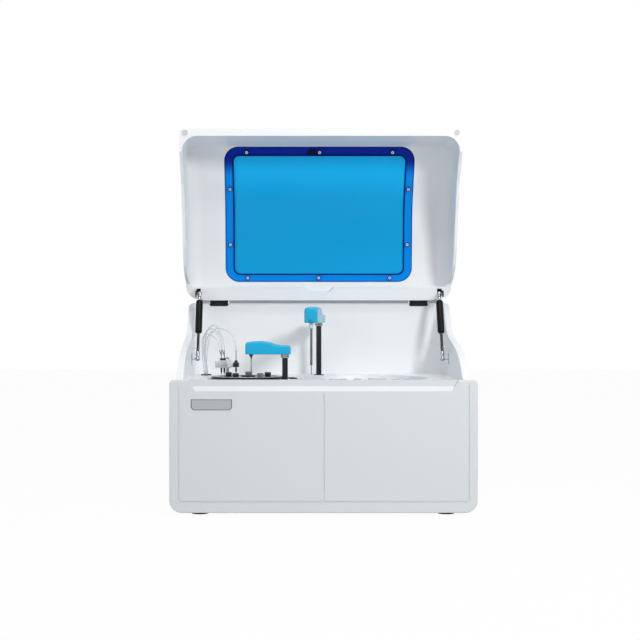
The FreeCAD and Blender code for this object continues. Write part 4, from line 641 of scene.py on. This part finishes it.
WHITE_PART = (sleeve_white, "wash", "grey_plastic")
slab("wash_plate", rounded_plan(-287.5, -246, 204.7, 303, 6), 368, 371, *WHITE_PART, "wash_head")
slab("wash_block", rounded_plan(-277.5, -254.2, 205.7, 232.7, 3), 371, 388, clear_block, "wash",
     "clear_plastic")
slab("wash_bridge", rounded_plan(-263, -251, 233, 284, 3), 371, 382, *WHITE_PART)
slab("wash_reach", rounded_plan(-256, -238.5, 244.1, 254.1, 3), 368, 380, *WHITE_PART)
slab("wash_clamp", rounded_plan(-239.5, -223.5, 241.1, 257.1, 4), 369, 381, knob_black, "wash",
     "black_plastic")
cup = ((0, 373), (3.8, 373), (3.8, 386), (5, 386), (5, 371), (0, 371))
turned("wash_cup", cup, (-281.5, 209.7, 0), UPWARDS, clear_block, "wash")
post_sleeve = ((5.1, 371), (11, 371), (11, 388), (5.1, 388), (5.1, 371))
turned("wash_sleeve", post_sleeve, (-257, 292, 0), UPWARDS, sleeve_white, "wash")
ferrule = ((1.4, 355.5), (1.9, 355.5), (2.4, 358), (2.4, 368), (1.4, 368), (1.4, 355.5))
for number, (x, s) in enumerate(WASH_NEEDLES, 1):
    seat = 381 if number == 3 else 388
    nut = ((1.4, seat), (4.3, seat), (4.3, seat + 4.6), (2.9, seat + 6), (1.4, seat + 6), (1.4, seat))
    turned(f"needle_nut_{number}", nut, (x, s, 0), UPWARDS, knob_black, "wash",
           flutes=6)
    turned(f"needle_ferrule_{number}", ferrule, (x, s, 0), UPWARDS, knob_black, "wash")

# Wash tubes
# Five soft translucent silicone tubes, 3 mm thick. They rise from the wash needles, arch over to the left
# and go down through a grommet in the deck. Each needle end is clamped, so the tube leaves it straight up.
# A route holds its places as millimetres of X, distance behind the front face, and height.
TUBE_DIAMETER = 0.003
TUBE_TINT = (0.74, 0.79, 0.83, 1)
silicone = surfaced("clear_silicone", TUBE_TINT, 0.25, grain=400, Alpha=0.5, IOR=1.41)
TUBE_ROUTES = (
    ((-275.0, 213.724, 415), (-276.469, 214.724, 435), (-291, 227.724, 452),
     (-310, 252, 461), (-325, 290, 452), (-329, 325, 428), (-330, 355, 398),
     (-329, 378, 371), (-327, 389, 351), (-327, 389, 333)),
    ((-269.469, 213.724, 415), (-269.469, 215.724, 437), (-280, 231.724, 462),
     (-300, 262, 476), (-318, 300, 466), (-326, 338, 442), (-328, 366, 410),
     (-326, 384, 378), (-322, 386, 353), (-322, 386, 333)),
    ((-267.7, 224.716, 415), (-268.193, 226.716, 439), (-274, 244.716, 470),
     (-292, 278, 485), (-311, 314, 475), (-321, 346, 448), (-325, 372, 414),
     (-324, 388, 380), (-317, 389, 353), (-317, 389, 333)),
    ((-262.193, 224.716, 415), (-262.193, 227.716, 435), (-269, 250.716, 453),
     (-288, 292, 468), (-308, 330, 463), (-320, 362, 438), (-324, 386, 406),
     (-322, 398, 376), (-319, 396, 352), (-319, 396, 333)),
    ((-231.5, 249.13, 415), (-232.5, 251.13, 437), (-242, 267.13, 456),
     (-266, 298, 473), (-291, 334, 474), (-309, 366, 455), (-318, 392, 423),
     (-320, 406, 388), (-325, 396, 354), (-325, 396, 333)),
)


for number, route in enumerate(TUBE_ROUTES, 1):
    line = bpy.data.curves.new(f"silicone_tube_{number}", "CURVE")
    line.dimensions = "3D"
    spline = line.splines.new("NURBS")
    spline.points.add(len(route) - 1)
    for control, (x, s, z) in zip(spline.points, route):
        control.co = (x / 1000, back(s), z / 1000, 1)
    spline.order_u = 3
    spline.use_endpoint_u = True
    spline.resolution_u = 12
    line.bevel_depth = TUBE_DIAMETER / 2
    line.bevel_resolution = 4
    line.use_fill_caps = True
    piece = bpy.data.objects.new(f"silicone_tube_{number}", line)
    bpy.context.scene.collection.objects.link(piece)
    line.materials.append(silicone)
    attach(piece, "wash")
    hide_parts(f"wash_tube_{number}")

# Mixer rod
# A thin steel rod with a flat paddle at its tip turns in a low black collar under the front arm.
rod_x, rod_s = MIXER_COLUMN[0] - MIXER_REACH, MIXER_COLUMN[1]
rod_steps = ((0, 408.8), (1.2, 408.8), (1.2, 361), (0, 361))
turned("mixer_shaft", rod_steps, (rod_x, rod_s, 0), UPWARDS, needle_steel, "mixer_rod", "mixer_tool",
       count=24, soften=0)
rod_collar = ((1.2, 407.9), (5.6, 407.9), (5.6, 404.6), (3.4, 403.8), (2.4, 399), (1.2, 398.4), (1.2, 407.9))
turned("mixer_rod_collar", rod_collar, (rod_x, rod_s, 0), UPWARDS, knob_black, "mixer_rod")
slab("mixer_paddle", rounded_plan(rod_x - 2.5, rod_x + 2.5, rod_s - 0.6, rod_s + 0.6, 0.5), 351, 362,
     needle_steel, "mixer_rod", "bright_steel", "mixer_tool", soften=0.0001)

# Screw recesses
# Each of the window's ten screws has a dark disc on its domed head for its socket, painted dark as the shade
# in that hollow, and a deeper blue ring round it on the sheet, which is painted shade.
# Painted shade: a dark disc on each screw head stands for the shade in its socket.
painted_socket_shade = surfaced("painted_socket_shade", (0.02, 0.021, 0.023), 0.5, grain=900, bump=0.05, drift=0.1)
recess = ((0, 0), (1.7, 0), (1.7, 0.35), (0, 0.35))
# Painted shade: a deeper blue ring round each screw.
shade_ring = ((0, 0), (7, 0), (7, 0.3), (6.4, 0.45), (0, 0.45))
places = [(x, s) for s in (72, 437) for x in (-207.9, 0, 207.9)]
places += [(x, s) for s in (176.7, 340.1) for x in (-258, 258)]
for number, (x, s) in enumerate(places, 1):
    seat, above, sheet = (on_lid(np.array(x), np.array(s), height) for height in (7.2, 8.2, 4.9))
    out = above - seat
    turned(f"screw_recess_{number}", recess, seat * 1000 + (0, MIDDLE_DEPTH, 0), out, painted_socket_shade, "lid",
           count=6, soften=0)
    turned(f"screw_shade_ring_{number}", shade_ring, sheet * 1000 + (0, MIDDLE_DEPTH, 0), out, painted_shade_blue, "lid",
           count=32, soften=0)

# Studio
# White floor and surround, a soft key lamp from the upper right in front, and an even fill.
FLOOR_HALF = 9
GLOW_SHARE = 0.97
SURROUND_STRENGTH = 0.34
floor_mesh = bpy.data.meshes.new("floor")
floor_corners = [(FLOOR_HALF * a, FLOOR_HALF * b, 0) for a, b in ((-1, -1), (1, -1), (1, 1), (-1, 1))]
floor_mesh.from_pydata(floor_corners, [], [(0, 1, 2, 3)])
floor = bpy.data.objects.new("floor", floor_mesh)
bpy.context.scene.collection.objects.link(floor)
floor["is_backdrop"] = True
floor_paint, floor_shader = shader_of("floor_white")
floor_tree = floor_paint.node_tree
floor_shader.inputs["Base Color"].default_value = (0.72, 0.72, 0.72, 1)
floor_shader.inputs["Roughness"].default_value = 0.9
glow = floor_tree.nodes.new("ShaderNodeEmission")
glow.inputs["Strength"].default_value = 1.0
blend = floor_tree.nodes.new("ShaderNodeMixShader")
path = floor_tree.nodes.new("ShaderNodeLightPath")
share = floor_tree.nodes.new("ShaderNodeMath")
share.operation = "MULTIPLY"
share.inputs[1].default_value = GLOW_SHARE
floor_tree.links.new(path.outputs["Is Camera Ray"], share.inputs[0])
floor_tree.links.new(share.outputs[0], blend.inputs["Fac"])
floor_tree.links.new(floor_shader.outputs[0], blend.inputs[1])
floor_tree.links.new(glow.outputs[0], blend.inputs[2])
floor_tree.links.new(blend.outputs[0], floor_tree.nodes["Material Output"].inputs["Surface"])
floor_mesh.materials.append(floor_paint)

world = bpy.data.worlds.new("studio")
world.use_nodes = True
bpy.context.scene.world = world
air = world.node_tree
surround = air.nodes["Background"]
surround.inputs["Strength"].default_value = SURROUND_STRENGTH
seen = air.nodes.new("ShaderNodeBackground")
seen.inputs["Color"].default_value = (1, 1, 1, 1)
rays = air.nodes.new("ShaderNodeLightPath")
either = air.nodes.new("ShaderNodeMath")
either.operation = "MAXIMUM"
last = air.nodes.new("ShaderNodeMath")
last.operation = "MAXIMUM"
choose = air.nodes.new("ShaderNodeMixShader")
surround.inputs["Color"].default_value = (0.93, 0.97, 1.0, 1)
air.links.new(rays.outputs["Is Camera Ray"], either.inputs[0])
air.links.new(rays.outputs["Is Glossy Ray"], either.inputs[1])
air.links.new(either.outputs[0], last.inputs[0])
air.links.new(rays.outputs["Is Transmission Ray"], last.inputs[1])
air.links.new(last.outputs[0], choose.inputs["Fac"])
air.links.new(surround.outputs[0], choose.inputs[1])
air.links.new(seen.outputs[0], choose.inputs[2])
air.links.new(choose.outputs[0], air.nodes["World Output"].inputs["Surface"])


def lamp(name, place, aim, power, size):
    """Square area lamp at a place, pointed at an aim."""
    light = bpy.data.lights.new(name, "AREA")
    light.energy = power
    light.size = size
    holder = bpy.data.objects.new(name, light)
    holder.location = place
    away = np.array(place) - np.array(aim)
    flat = math.hypot(away[0], away[1])
    holder.rotation_euler = (math.atan2(flat, away[2]), 0, math.atan2(away[1], away[0]) + math.pi / 2)
    bpy.context.scene.collection.objects.link(holder)


lamp("key", (1.5, -2.7, 1.85), (0, 0, 0.5), 47, 0.5)
lamp("fill", (-2.2, -3.0, 1.2), (0, 0, 0.5), 13, 1.8)
lamp("overhead", (0.1, -1.1, 2.9), (0, 0, 0.4), 27, 1.2)

low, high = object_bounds()
